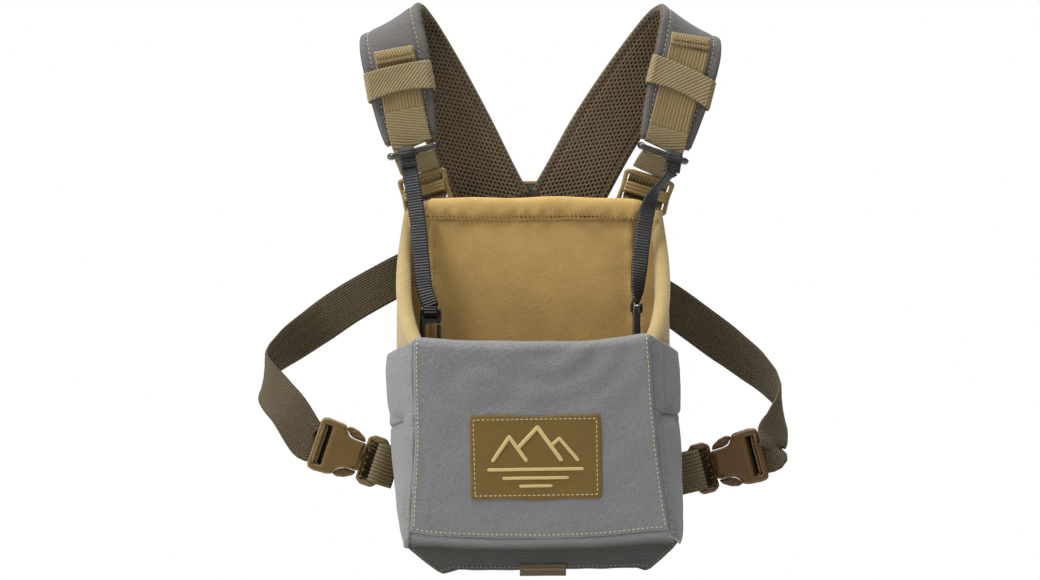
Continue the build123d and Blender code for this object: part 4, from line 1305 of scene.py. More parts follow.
idx = np.arange(n_u * (n_v + 1)).reshape(n_u, n_v + 1)
q = np.stack([idx[:-1, :-1], idx[:-1, 1:], idx[1:, 1:], idx[1:, :-1]], -1).reshape(-1, 4).tolist()
q.append(idx[0, :-1].tolist())
q.append(idx[-1, :-1].tolist())
Uv = np.stack([np.broadcast_to(uu[:, None], (n_u, n_v + 1)).ravel(), np.broadcast_to(ang[None] * 6, (n_u, n_v + 1)).ravel()], 1)
roll = add("top_roll_cushion", rollP.reshape(-1, 3), q, Uv, (LINING,), None, "pack", ("top_roll", "roll_keeper_strip"))
j = int(n_v * 0.83)
low_line = np.array([[x0, -17.5, 98.1 + 0.25 * math.sin(x0 / 13)] for x0 in np.linspace(-62, 62, 140)])
low_line[:, 1] = [-13.7 - 1.15 - 0.35 for _ in low_line]
low_line[:, 1] += 1.3
stitches("roll_stitches", [(low_line, np.array([0, -1.0, -0.2]))], "pack", THREAD_DIM, length=1.6, gap=1.0, rad=0.2)
tube("roll_seam_cord", np.array([[x0, -13.6 + 0.2 * math.sin(x0 / 4), 100.2 + 0.3 * math.sin(x0 / 3.1)] for x0 in np.linspace(-65, 65, 220)]), 0.9, sides=8, mats=(LINING,), body="pack")


def arc3(p0, p1, p2, t):
    """Points at t in 0..1 along the circle through three points."""
    (x0, y0), (x1, y1), (x2, y2) = p0, p1, p2
    d = 2 * (x0 * (y1 - y2) + x1 * (y2 - y0) + x2 * (y0 - y1))
    ux = ((x0 ** 2 + y0 ** 2) * (y1 - y2) + (x1 ** 2 + y1 ** 2) * (y2 - y0) + (x2 ** 2 + y2 ** 2) * (y0 - y1)) / d
    uy = ((x0 ** 2 + y0 ** 2) * (x2 - x1) + (x1 ** 2 + y1 ** 2) * (x0 - x2) + (x2 ** 2 + y2 ** 2) * (x1 - x0)) / d
    r = math.hypot(x0 - ux, y0 - uy)
    a0 = math.atan2(y0 - uy, x0 - ux)
    a1 = math.atan2(y1 - uy, x1 - ux)
    a2 = math.atan2(y2 - uy, x2 - ux)
    span = (a2 - a0) % (2 * math.pi)
    if (a1 - a0) % (2 * math.pi) > span:
        span -= 2 * math.pi
    a = a0 + span * np.asarray(t)
    return ux + r * np.cos(a), uy + r * np.sin(a)


RIM_T = np.linspace(0, 1, 200)
RIM_Y, RIM_Z = arc3((-70, 23.5), (-36, 57), (-4, 107), RIM_T)


def rim_z(y):
    o = np.argsort(RIM_Y)
    return np.interp(y, RIM_Y[o], RIM_Z[o])


SIDEP = {}
for side, name in ((-1, "left"), (1, "right")):
    t = np.linspace(0, 1, 70)
    ox_, oy_ = arc3((78.0, -4.0), (83.0, -32.0), (73.0, -70.0), t)
    ti = t
    ix_, iy_ = arc3((72.4, -10.2), (76.0, -34.0), (66.0, -70.0), ti)
    mx, my = (ox_ + ix_) / 2, np.clip(oy_, -70, -4)
    th = np.maximum(np.abs(ox_ - ix_) - 0.5, 3.0)
    rows = np.linspace(0, 1, 110)
    zt_, zb_ = rim_z(my), -111.0 + (-4 - my) * (19.0 / 66.0)
    Zg = zt_[None] + (zb_ - zt_)[None] * rows[:, None]
    Xg = np.broadcast_to(side * mx[None], Zg.shape).copy()
    Yg = np.broadcast_to(my[None], Zg.shape).copy()
    Xg += side * (0.5 * wav(Yg / 18, Zg / 22, 71 + side, 3) + 0.8 * np.sin(np.pi * rows)[:, None])
    if side < 0:
        Xg -= 2.6 * np.exp(-((Zg + 45) / 34) ** 2) * np.exp(-((Yg + 34) / 22) ** 2)
    Xg = Xg * (1 - 0.20 * ss(-Zg, 62, 116))
    P = np.stack([Xg, Yg, Zg], -1)
    if side > 0:
        P = P[:, ::-1]
        th = th[::-1]
    N = grid_normals(P)
    flip = np.sign((N[..., 0] * side).mean())
    N = N * flip
    Vv = np.concatenate([[0], np.cumsum(np.linalg.norm(np.diff(P[60], axis=0), axis=1))])
    SIDEP[name] = (P, N, th)
    # the wall's inner faces take the darker lining copy, as painted shade
    ob = padded_sheet(f"side_wall_cloth_{name}", P, np.broadcast_to(th[None], Zg.shape), np.broadcast_to(Vv[None], Zg.shape), P[..., 2], N=N, edge=2.8, thin=0.3,
                      mats=(TWILL, LINING_PAINTED_SHADE, TWILL), body="pack", replaces=(f"side_wall_{name}",))
    # bound rim: a twill tape folded over the wall's upper edge, with its stitch line
    rt = np.linspace(0, 1, 150)
    ry_, rz_ = arc3((-69.5, 23.8), (-36, 57.2), (-6, 104.5), rt)
    o = np.argsort(my)
    mx_at = np.interp(ry_, my[o], mx[o])
    th_at = np.interp(ry_, (my if side < 0 else my)[o], (np.abs(ox_ - ix_))[o])
    C = np.stack([side * mx_at, ry_, rz_], 1)
    tdir = norm(np.gradient(C, axis=0))
    sx = np.array([side * 1.0, 0, 0])
    upn = norm(np.cross(tdir, sx))
    upn = upn * np.where(upn[:, 2:3] < 0, -1, 1)
    K = 17
    aa = np.linspace(-math.pi / 2 - 0.75, math.pi / 2 + 0.75, K)
    half = th_at / 2 + 0.35
    B = C[:, None] + sx * (np.sin(aa)[None, :, None] * half[:, None, None]) + upn[:, None] * (np.cos(aa)[None, :, None] * 3.3 - 2.0)
    B = B + 0.22 * wav(np.broadcast_to(rt[:, None] * 30, B.shape[:2]), np.broadcast_to(aa[None], B.shape[:2]), 81 + side, 3)[..., None] * upn[:, None]
    Uu = np.broadcast_to((aa * 5)[None], B.shape[:2])
    Vv = np.broadcast_to(np.concatenate([[0], np.cumsum(np.linalg.norm(np.diff(C, axis=0), axis=1))])[:, None], B.shape[:2])
    nb = grid_normals(B)
    nb = nb * np.sign((nb * upn[:, None]).sum(-1, keepdims=True).mean())
    padded_sheet(f"rim_binding_{name}", B, 1.3, Uu, Vv, N=nb, edge=0.9, thin=0.5, mats=(TWILL,), body="pack")
    ln = []
    for col in (K // 2 + (4 if True else 0), K // 2 - 5):
        ln.append((B[:, col] + nb[:, col] * 0.7, nb[:, col]))
    stitches(f"rim_stitches_{name}", ln, "pack", THREAD, length=1.6, gap=1.1, rad=0.18)

# front wall and its bound rim
panel("front_wall_cloth", -70.0, 70.0, -92.0, 20.5, -72.7, 4.4, (PADGRAY, LINING, PADGRAY), ("front_wall",), wave=0.25, seed=5, r=5, edge=1.5)
xs = np.linspace(-70.5, 70.5, 160)
rimC = np.stack([xs, np.full(160, -72.6) - 0.3 * np.sin(xs / 9), 22.4 + 0.45 * wav(xs / 12, xs * 0, 91, 2) + 1.6 * ss(np.abs(xs), 62, 70)], 1)
tube("front_rim_binding", rimC, 2.45, W=np.array([0, 1.0, 0]), sides=16, flat=1.0, mats=(TWILL,), body="pack", replaces=("front_rim",))

# bottom
t = np.linspace(0, 1, 60)
gy = np.linspace(-4.4, -74.6, 50)
tt = np.linspace(0, 1, 200)
bx_, by_ = arc3((78, -4), (83, -32), (72.5, -75), tt)
o = np.argsort(by_)
hw = np.interp(gy, by_[o], bx_[o]) - 0.6
cx = np.linspace(-1, 1, 90)
P = np.zeros((50, 90, 3))
P[..., 1] = gy[:, None]
bz_ = -114.3 + ((-4 - gy) * (20.4 / 71.0))
P[..., 0] = ((hw - 2.5) * (1 - 0.20 * ss(-bz_, 62, 116)))[:, None] * cx[None]
P[..., 2] = -114.3 + ((-4 - gy) * (20.4 / 71.0))[:, None] + 0.35 * wav(P[..., 0] / 20, P[..., 1] / 15, 95, 3)
padded_sheet("bottom_cloth", P, 3.8, P[..., 0], P[..., 1], edge=1.8, thin=0.4, mats=(LINING, TWILL, TWILL), body="pack", replaces=("bottom_panel",))

# back panel, seen from the wearer's side, and the padded chest pad on it
panel("back_panel_cloth", -75.5, 75.5, -109.6, 112.0, -7.0, 5.6, (LINING, TWILL, TWILL), ("back_panel",), wave=0.12, seed=7, r=14, edge=2.0)


def quilt(name, x0, x1, z0, z1, y, th, r, body, replaces, mats, rows_at, face=1, depth=1.3):
    gx, gz = np.linspace(-1, 1, 200), np.linspace(1, -1, 300)
    Xn, Zn = np.meshgrid(gx, gz)
    hx, hz = (x1 - x0) / 2, (z1 - z0) / 2
    AX, AZ = Xn * hx, Zn * hz
    ix, iz = np.maximum(np.abs(AX) - (hx - r), 0), np.maximum(np.abs(AZ) - (hz - r), 0)
    Lc, m = np.hypot(ix, iz), np.maximum(ix, iz)
    k = np.where(Lc > 1e-6, m / np.maximum(Lc, 1e-6), 1)
    AX = np.sign(AX) * (np.minimum(np.abs(AX), hx - r) + ix * k)
    AZ = np.sign(AZ) * (np.minimum(np.abs(AZ), hz - r) + iz * k)
    P = np.stack([(x0 + x1) / 2 + AX, np.full(AX.shape, float(y)), (z0 + z1) / 2 + AZ], -1)
    top = -0.75 * hole_depth(P[..., 0], P[..., 2])
    groove = np.zeros(AX.shape)
    for zr in rows_at:
        groove += np.exp(-((P[..., 2] - zr) / 1.5) ** 2)
    top = top * (1 - np.clip(groove, 0, 1)) - depth * groove
    N = np.broadcast_to(np.array([0.0, 1.0, 0.0]), P.shape)
    return padded_sheet(name, P, th, P[..., 0], P[..., 2], N=N, edge=4.0, thin=0.35, top=top, mats=mats, body=body, replaces=replaces), P


chest, CP = quilt("chest_pad_mesh", -61.8, 61.8, -98.8, 98.8, -1.9, 3.7, 16, "pack", ("chest_pad",), (SPACER, TWILL, TAN_FLAT), (-52, 0, 52), depth=0.9)
ring_pts = np.array([[x_, -1.9, z_] for x_, z_ in poly_round([(-61.2, -98.2), (61.2, -98.2), (61.2, 98.2), (-61.2, 98.2)], 16, 14)])
ring_pts = np.vstack([ring_pts, ring_pts[:2]])
tube("chest_pad_binding", resample(ring_pts, 1.2), 1.75, W=np.array([0, 1.0, 0]), sides=12, mats=(TAN_FLAT,), body="pack")


# ------------------------------------------------------------------ shoulder straps
PAD = {
    "left": [(-75.7, -4.0, 149.0, 31, 15.5), (-78.5, -4.5, 162.0, 35, 16.5), (-82.6, -4.2, 184.5, 39, 18.0),
             (-85.8, -2.2, 203.0, 41, 22.0), (-87.8, 3.0, 215.0, 40, 27.0), (-87.4, 10.0, 220.6, 40, 31.0),
             (-84.8, 17.0, 221.4, 40, 31.0), (-80.6, 24.0, 215.8, 41, 30.0), (-74.0, 27.5, 205.0, 42, 29.0),
             (-60.4, 28.0, 181.5, 42, 28.5), (-45.2, 25.5, 152.8, 42, 28.5), (-31.0, 20.5, 124.0, 42, 28.5),
             (-21.5, 17.2, 106.0, 42, 28.5)],
    "right": [(81.9, -4.0, 147.0, 31, -19.0), (85.6, -4.5, 161.5, 35, -22.0), (91.4, -4.2, 184.0, 39, -28.0),
              (95.8, -2.2, 202.0, 40, -30.0), (97.2, 3.0, 214.0, 40, -32.0), (96.0, 10.0, 219.4, 40, -33.0),
              (93.0, 17.0, 220.0, 40, -33.0), (88.0, 24.0, 215.6, 41, -32.0), (80.2, 27.5, 205.6, 42, -31.5),
              (62.0, 28.0, 181.0, 42, -31.0), (43.6, 25.5, 153.0, 42, -31.0), (28.6, 20.5, 126.0, 42, -31.0),
              (17.2, 17.2, 106.0, 42, -31.0)],
}
LOCK = {"left": ((-66.8, 4.3, 117.5), (0.925, -0.27, 0.255)), "right": ((69.6, 0.6, 116.4), (0.955, 0.03, -0.293))}
for side, name in ((-1, "left"), (1, "right")):
    st = PAD[name]
    sd = 100 + side
    # gray outer layer: foam-backed, crowned, with a line of stitches sunk inside each edge
    P, N, U, V = band_grid(st, 1.5, 49, offset=-1.45)
    hw = np.abs(U).max(1, keepdims=True)
    inset = hw - np.abs(U)
    crownp = 0.55 * np.clip(inset / 9, 0, 1) ** 0.5 + 0.22 * wav(U / 12, V / 18, sd, 3)
    groove = 0.75 * np.exp(-((inset - 5.0) / 0.9) ** 2)
    gray = padded_sheet(f"shoulder_outer_{name}", P, 2.5, U + 300, V, N=N, edge=1.6, thin=0.4, bottom=crownp * 0.6 - groove, mats=(LINING, PADGRAY, PADGRAY),
                        replaces=(f"shoulder_pad_{name}",))
    # spacer mesh on the wearer's side, pressed flat along both edges
    P2, N2, U2, V2 = band_grid(st, 0.62, 67, offset=1.45)
    hw2 = np.abs(U2).max(1, keepdims=True)
    in2 = hw2 - np.abs(U2)
    holes = -0.85 * hole_depth(U2, V2) * ss(in2, 3.4, 4.4)
    crown2 = 0.65 * ss(in2, 3.0, 8.0) - 0.5 * np.exp(-((in2 - 3.9) / 0.7) ** 2)
    mesh = padded_sheet(f"shoulder_mesh_cloth_{name}", P2, 2.4, U2, V2, N=N2, edge=1.2, thin=0.45, top=holes + crown2 * 0.7, mats=(SPACER, LINING, BROWN_FLAT),
                        replaces=(f"shoulder_mesh_{name}",))
    # plain tape along both edges of the mesh side
    for o in (gray, mesh):
        clip_plane(o, (-0.2 if side < 0 else 0.2, 0, 0), (1 if side < 0 else -1, 0, 0))
        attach(o, "pack")
    lines = []
    cols = P.shape[1]
    for frac in (0.122, 0.878):
        j = int(round(frac * (cols - 1)))
        keep = P[:, j, 0] * side > 4
        nn = -N[:, j][keep]
        lines.append((P[:, j][keep] + nn * 1.12, nn))
    stitches(f"shoulder_stitches_{name}", lines, "pack", THREAD, length=1.9, gap=1.25, rad=0.2)
    lines = []
    cols = P2.shape[1]
    for frac in (0.088, 0.912):
        j = int(round(frac * (cols - 1)))
        keep = P2[:, j, 0] * side > 4
        nn = N2[:, j][keep]
        lines.append((P2[:, j][keep] + nn * 1.0, nn))
    stitches(f"shoulder_mesh_stitches_{name}", lines, "pack", THREAD_BROWN, length=1.9, gap=1.25, rad=0.2)
    # bound edges
    for frac, tag in ((0.0, "a"), (1.0, "b")):
        j = int(round(frac * (cols - 1)))
        line = (P2[:, j] - N2[:, j] * 1.45)
        keep = line[:, 0] * side > 1.5
        line = resample(line[keep], 1.0)
        tube(f"shoulder_binding_{name}_{tag}", line, 0.8, sides=10, mats=(BROWN_FLAT,), body="pack")
    lead = P2[0] - N2[0] * 1.45
    tube(f"shoulder_binding_{name}_c", resample(lead, 1.0), 1.5, sides=10, mats=(TAN_FLAT,), body="pack")

    (rx, rz), ang = RING[name]
    ea = math.radians(ang)
    rows, _ = smooth_rows([list(s) for s in st], 1.0)
    lift = -3.95

    def pad_frame(i):
        p = np.array([s[:3] for s in st], float)
        t_ = norm((p[min(i + 1, len(p) - 1)] - p[max(i - 1, 0)]))
        r_ = math.radians(st[i][4])
        w_ = np.array([math.cos(r_), 0, math.sin(r_)])
        w_ = norm(w_ - t_ * (t_ @ w_))
        return p[i], t_, w_, norm(np.cross(t_, w_))

    def on_pad(i, extra=0.0):
        p, t_, w_, n_ = pad_frame(i)
        q_ = p + n_ * (lift + extra)
        return (q_[0], q_[1], q_[2], 25, st[i][4])

    web = [on_pad(3), on_pad(2), on_pad(1), on_pad(0), (rx, -7.8, rz + 3.0, 25, ang)]
    if side > 0:
        up3, up4 = np.array(on_pad(3)), np.array(on_pad(4))
        web = [tuple(up3 + (up4 - up3) * 0.72)] + web
    P, N, U, V = band_grid(web, 0.7, 41)
    turn = 37.0 if side < 0 else 60.0
    fade = 1 - ss(V, turn - 5, turn + 4)
    ribs = 0.2 * np.cos(U * 2 * math.pi / 2.08) * fade
    P = P + N * (0.3 * wav(U / 9, V / 11, sd + 31, 2))[..., None]
    cut_row = int(np.argmin(np.abs(V[:, 0] - turn)))
    for part, sl_, mt in (("a", slice(0, cut_row + 1), TAN_WEB), ("b", slice(cut_row, None), TAN_BASKET)):
        padded_sheet(f"shoulder_web_strip_{name}_{part}", P[sl_], 1.6, U[sl_], V[sl_] * (1 if part == "a" else side), N=N[sl_], edge=0.5, thin=0.75, top=ribs[sl_], bottom=ribs[sl_], mats=(mt,),
                     body="pack", replaces=(f"shoulder_web_{name}",) if part == "a" else ())
    # folded end of the webbing, held by a zigzag tack
    p, t_, w_, n_ = pad_frame(3)
    if side > 0:
        q3 = pad_frame(4)
        p = p + (q3[0] - p) * 0.72
        t_ = norm(t_ + q3[1])
        w_ = norm(w_ - t_ * (t_ @ w_))
        n_ = norm(np.cross(t_, w_))
    c0 = p + n_ * (lift - 1.5) - t_ * 3.2
    g = np.linspace(-12.2, 12.2, 40)
    hh = np.linspace(-4.2, 4.2, 14)
    P = c0 + w_ * g[None, :, None] + t_ * hh[:, None, None]
    P = P - n_ * (0.5 * np.cos(hh / 4.2 * 1.3))[:, None, None]
    padded_sheet(f"bartack_fold_{name}", P, 1.5, np.broadcast_to(hh[:, None] * 1.0, P.shape[:2]), np.broadcast_to(g[None], P.shape[:2]),
                 N=np.broadcast_to(-n_, P.shape), edge=0.7, thin=0.5, top=0.35 * np.sin(np.broadcast_to(hh[:, None], P.shape[:2]) / 1.15), mats=(TAN_BASKET,), body="pack", replaces=(f"bartack_strip_{name}",))
    zig = np.array([c0 - n_ * 1.5 + w_ * (-11 + 22 * k_ / 26) + t_ * (1.5 if k_ % 2 else -1.5) for k_ in range(27)])
    stitches(f"bartack_thread_{name}", [(zig, -n_)], "pack", THREAD_TAN, length=1.55, gap=0.1, rad=0.36)
    for dd in (-3.1, 3.1):
        line = np.array([c0 - n_ * 1.25 + w_ * x_ + t_ * dd for x_ in np.linspace(-11, 11, 12)])
        stitches(f"bartack_line_{name}_{'a' if dd < 0 else 'b'}", [(line, -n_)], "pack", THREAD_TAN, length=1.5, gap=0.7, rad=0.2)
    # elastic keeper round pad and webbing
    p, t_, w_, n_ = pad_frame(2)
    c0 = p - n_ * 1.0
    skew = -0.16 if side > 0 else 0.03
    loop_pts = poly_round([(-23.0, -5.6), (23.0, -5.6), (23.0, 5.6), (-23.0, 5.6)], 4.2, 10)
    loop_pts = np.array(loop_pts + [loop_pts[0]])
    s_ = np.concatenate([[0], np.cumsum(np.linalg.norm(np.diff(loop_pts, axis=0), axis=1))])
    f_ = np.linspace(0, s_[-1], 150)
    lx, ly = np.interp(f_, s_, loop_pts[:, 0]), np.interp(f_, s_, loop_pts[:, 1])
    hh = np.linspace(-9, 9, 30)
    P = c0 + w_ * (lx * 0.90)[None, :, None] + n_ * ly[None, :, None] + t_ * (hh[:, None] * (1 - 0.10 * np.cos(lx / 23 * 1.5))[None] + (1.9 * np.cos(lx / 23 * 1.5) * np.sign(-ly) + skew * lx)[None])[..., None]
    # small ripples on the band
    cn = norm(np.stack([lx / 23.0 ** 1, ly * 3, 0 * lx], 1))
    out_n = (w_ * cn[:, :1] * 0.2 + n_ * cn[:, 1:2])
    P = P + norm(out_n)[None] * (0.25 * wav(np.broadcast_to(f_[None] / 6, P.shape[:2]), np.broadcast_to(hh[:, None] / 4, P.shape[:2]), sd + 7, 2))[..., None]
    NN = grid_normals(P)
    ctr = P - c0
    NN = NN * np.sign((NN * (n_ * ly[None, :, None] + w_ * lx[None, :, None])).sum(-1).mean())
    Ug, Vg = np.broadcast_to(hh[:, None], P.shape[:2]), np.broadcast_to(f_[None], P.shape[:2])
    ribk = 0.12 * np.cos((Ug + Vg * 1.35) * 2 * math.pi / 2.2)
    padded_sheet(f"keeper_band_{name}", P, 1.2, (Ug + Vg) * 0.707, (Ug - Vg) * 0.707, N=NN, edge=0.6, thin=0.5, top=ribk, mats=(ELASTIC,), body="pack", replaces=(f"keeper_{name}",))
    lines = []
    for xx in (-18.0, 18.0):
        lines.append((np.array([c0 + w_ * xx - n_ * 6.4 + t_ * (y_ + skew * xx + 0.9) for y_ in np.linspace(-8, 8, 20)]), -n_))
    stitches(f"keeper_stitches_{name}", lines, "pack", THREAD_TAN, length=1.5, gap=0.7, rad=0.22)

    # tether ring: a moulded loop, thicker at its ends
    e = np.array([math.cos(ea), 0, math.sin(ea)])
    f3 = np.array([0, 1.0, 0])
    rr = np.array(poly_round([(-14.55, -4.75), (14.55, -4.75), (14.55, 4.75), (-14.55, 4.75)], 3.4, 12))
    rr = np.vstack([rr, rr[:1]])
    C = np.array([rx, -9.3, rz]) + e * rr[:, :1] + f3 * rr[:, 1:]
    s_ = np.concatenate([[0], np.cumsum(np.linalg.norm(np.diff(C, axis=0), axis=1))])
    f_ = np.linspace(0, s_[-1], 140)
    C2 = np.stack([np.interp(f_, s_, C[:, k_]) for k_ in range(3)], 1)
    along = np.abs((C2 - np.array([rx, -9.3, rz])) @ e)
    rad = 1.66 + 0.5 * ss(along, 11.5, 14.2)
    upv = np.cross(f3, e)
    C2 = C2 + upv * ((0.55 * ss(along, 9, 15) * -np.sign(upv[2]) * -1))[:, None]
    tg = norm(np.roll(C2, -1, 0) - np.roll(C2, 1, 0))
    tg[0] = tg[-1] = norm(C2[1] - C2[-2])
    Wd = np.broadcast_to(norm(upv), C2.shape)
    bb = norm(np.cross(tg, Wd))
    an = np.linspace(0, 2 * math.pi, 15)
    P = C2[:, None] + Wd[:, None] * (np.cos(an)[None, :, None] * rad[:, None, None]) + bb[:, None] * (np.sin(an)[None, :, None] * rad[:, None, None])
    idx = np.arange(P.shape[0] * P.shape[1]).reshape(P.shape[:2])
    q = np.stack([idx[:-1, :-1], idx[:-1, 1:], idx[1:, 1:], idx[1:, :-1]], -1).reshape(-1, 4)
    add(f"ring_loop_{name}", P.reshape(-1, 3), q, np.zeros((idx.size, 2)), (BLACK_PL,), None, "pack", (f"tether_ring_{name}",))

    # ladder-lock
    c_, e_ = LOCK[name]
    c_ = np.array(c_)
    e_ = norm(np.array(e_))
    up = norm(np.array([0, 0, 1.0]) - e_ * e_[2])
    nrm = np.cross(e_, up)
    if nrm[1] > 0:
        nrm = -nrm
    M = frame_of(c_, e_, up)
    zsign = 1 if (np.cross(e_, up) @ nrm) > 0 else -1
    outer = poly_round([(-16.3, -9.6), (-14.6, -11.1), (14.6, -11.1), (16.3, -9.6), (15.6, 0), (16.3, 9.4), (14.4, 11.1), (-14.4, 11.1), (-16.3, 9.4), (-15.6, 0)],
                       [1.8, 1.6, 1.6, 1.8, 5, 2.2, 2.2, 2.2, 2.2, 5], 5)
    holes = [rect(-13.3, 13.3, 4.0, 8.3, 0.9), rect(-13.3, 13.3, -7.8, -3.4, 0.9)]
    plate(f"lock_frame_{name}", outer, holes, 4.4, 1.4, M, (TAN_PL,), "pack", (f"ladder_lock_{name}",), res=3)
    # slanted grip bar, ribbed
    gl, gw = np.linspace(-13.6, 13.6, 100), np.linspace(-1, 1, 17)
    P = c_ + e_ * gl[None, :, None] + up * (0.3 + gw[:, None] * 3.5)[..., None] + nrm * (2.6 + gw[:, None] * -0.7 + 0.0 * gl[None])[..., None]
    top_h = 0.35 * np.cos(gw * 2 * math.pi * 1.5)[:, None] * np.ones((1, 100))
    padded_sheet(f"lock_grip_{name}", P, 2.6, np.broadcast_to(gl[None], P.shape[:2]), np.broadcast_to(gw[:, None], P.shape[:2]), N=np.broadcast_to(nrm, P.shape), edge=1.0, thin=0.3,
                 top=top_h, mats=(TAN_PL,), body="pack")
    wa = math.degrees(math.atan2(e_[2], e_[0]))
    topp = c_ + up * 12.0
    mid = (rx * 0.5 + topp[0] * 0.5, -4.6 if name == "right" else -3.2, rz * 0.5 + topp[2] * 0.5, 25, (ang + wa) / 2, e_[1] / 2)
    tilt = math.tan(ea)
    web = [(rx + 2.2 * -tilt, -8.0, rz + 2.2, 25, ang), (rx + 2.4 * tilt, -8.3, rz - 2.4, 25, ang), mid, (topp[0], topp[1], topp[2], 25, wa, e_[1])]
    P, N, U, V = band_grid(web, 0.7, 41)
    P = P + N * (0.15 * wav(U / 6, V / 6, sd + 3, 2))[..., None]
    padded_sheet(f"adjust_web_strip_{name}", P, 1.6, U, V, N=N, edge=0.8, thin=0.5, mats=(TAN_BASKET,), body="pack", replaces=(f"adjust_web_{name}",))
    # its return through the slots, over the bar
    pts = [c_ + up * 11.5 + nrm * 0.2, c_ + up * 8.4 - nrm * 0.2, c_ + up * 6.2 - nrm * 1.4, c_ + up * 3.6 - nrm * 3.0, c_ + up * 0.0 - nrm * 3.3, c_ - up * 3.6 - nrm * 3.0,
           c_ - up * 5.6 - nrm * 0.6, c_ - up * 7.6 + nrm * 1.6, c_ - up * 10.0 + nrm * 1.2, c_ - up * 12.0 + nrm * 0.2]
    rows_, _ = smooth_rows(np.array([list(p_) + [0] for p_ in pts]), 0.6)
    P, N, U, V = tape_grid(rows_[:, :3], np.broadcast_to(e_, rows_[:, :3].shape), np.full(len(rows_), 25.0), 41)
    ribs = 0.13 * np.cos(U * 2 * math.pi / 2.08)
    padded_sheet(f"lock_web_{name}", P, 1.4, U, V, N=N, edge=0.7, thin=0.5, top=ribs, bottom=ribs, mats=(TAN_WEB,), body="pack")
    bot = c_ - up * 12.0
    end = (-61.0 if name == "left" else 61.5, -2.5, 99.6, 25, wa * 0.4, 0.0)
    start = (bot[0], bot[1], bot[2], 25, wa, e_[1])
    half = ((start[0] + end[0]) / 2, start[1] * 0.55 - 0.6, (start[2] + end[2]) / 2 + 0.3, 25, wa * 0.7, e_[1] / 2)
    P, N, U, V = band_grid([start, half, end], 0.7, 41)
    padded_sheet(f"anchor_web_strip_{name}", P, 1.3, U, V, N=N, edge=0.6, thin=0.5, mats=(TAN_WEB,), body="pack", replaces=(f"anchor_web_{name}",))

# ------------------------------------------------------------------ yoke
yoke, YP = quilt("yoke_plate", -42, 42, 61, 123, 25.35, 3.4, 12, "pack", ("back_yoke",), (SPACER, PADGRAY, TAN_FLAT), (92,), depth=0.6)
rp = np.array([[x_, 25.35, z_ + 92] for x_, z_ in poly_round([(-41.4, -30.4), (41.4, -30.4), (41.4, 30.4), (-41.4, 30.4)], 12, 12)])
rp = np.vstack([rp, rp[:2]])
tube("yoke_binding", resample(rp, 1.0), 1.7, W=np.array([0, 1.0, 0]), sides=12, mats=(TAN_FLAT,), body="pack")

# ------------------------------------------------------------------ side straps and buckles
BUCKLE = {"left": ((-86.3, -52.8), (-0.9477, 0.3192)), "right": ((92.0, -56.3), (0.9686, 0.2486))}
STRAP = {
    "left": [(-16.0, 22.3, 101.0, 25, 61), (-39.2, 22.2, 88.8, 25, 61), (-64.0, 19.4, 75.6, 25, 61),
             (-85.4, 15.0, 63.9, 25, 60), (-114.1, 14.0, 47.7, 25, 58), (-136.0, 12.5, 32.5, 25, 57),
             (-152.0, 8.0, 20.8, 25, 62, 0.05), (-161.6, 0.5, 12.6, 25, 74, 0.0), (-165.2, -8.5, 6.4, 25, 84, 0.0),
             (-163.6, -18.0, -0.6, 25, 80, 0.05), (-157.4, -26.0, -9.0, 25, 68, 0.05), (-149.0, -31.4, -18.6, 25, 62, 0.0)],
    "right": [(14.0, 22.3, 99.5, 25, 119), (35.5, 22.2, 83.4, 25, 121), (60.5, 19.4, 64.9, 25, 123),
              (83.0, 15.0, 48.9, 25, 124), (104.3, 14.0, 33.3, 25, 124), (124.0, 12.5, 18.6, 25, 124),
              (139.0, 8.0, 6.6, 25, 118, 0.05), (148.6, 0.5, -3.2, 25, 106, 0.0), (152.6, -8.5, -11.6, 25, 97, 0.0),
              (152.4, -18.0, -19.8, 25, 97, 0.05), (149.6, -26.0, -28.4, 25, 100, 0.05), (145.8, -31.2, -35.8, 25, 104, 0.0)],
}
BY = -34.0


def solid_box(M, u0, u1, v0, v1, t0, t1):
    bm = bmesh.new()
    r = bmesh.ops.create_cube(bm, size=1.0)
    for v_ in r["verts"]:
        v_.co = Vector(((u0 + u1) / 2 + v_.co.x * (u1 - u0), (v0 + v1) / 2 + v_.co.y * (v1 - v0), (t0 + t1) / 2 + v_.co.z * (t1 - t0))) * MM
    bm.transform(M)
    me = bpy.data.meshes.new("cutter")
    bm.to_mesh(me)
    bm.free()
    return me


def bar(name, p0, p1, rad, mats, body, W=None, flat=1.0, n=16, sides=14):
    f_ = np.linspace(0, 1, n)
    C = np.array(p0)[None] + (np.array(p1) - np.array(p0))[None] * f_[:, None]
    k_ = np.minimum(f_, 1 - f_) * n
    r_ = rad * np.clip(np.sqrt(np.clip(k_, 0.0, 2.0) / 2.0), 0.55, 1)
    return tube(name, C, rad, W=W, sides=sides, flat=flat, radii=r_, mats=mats, body=body)


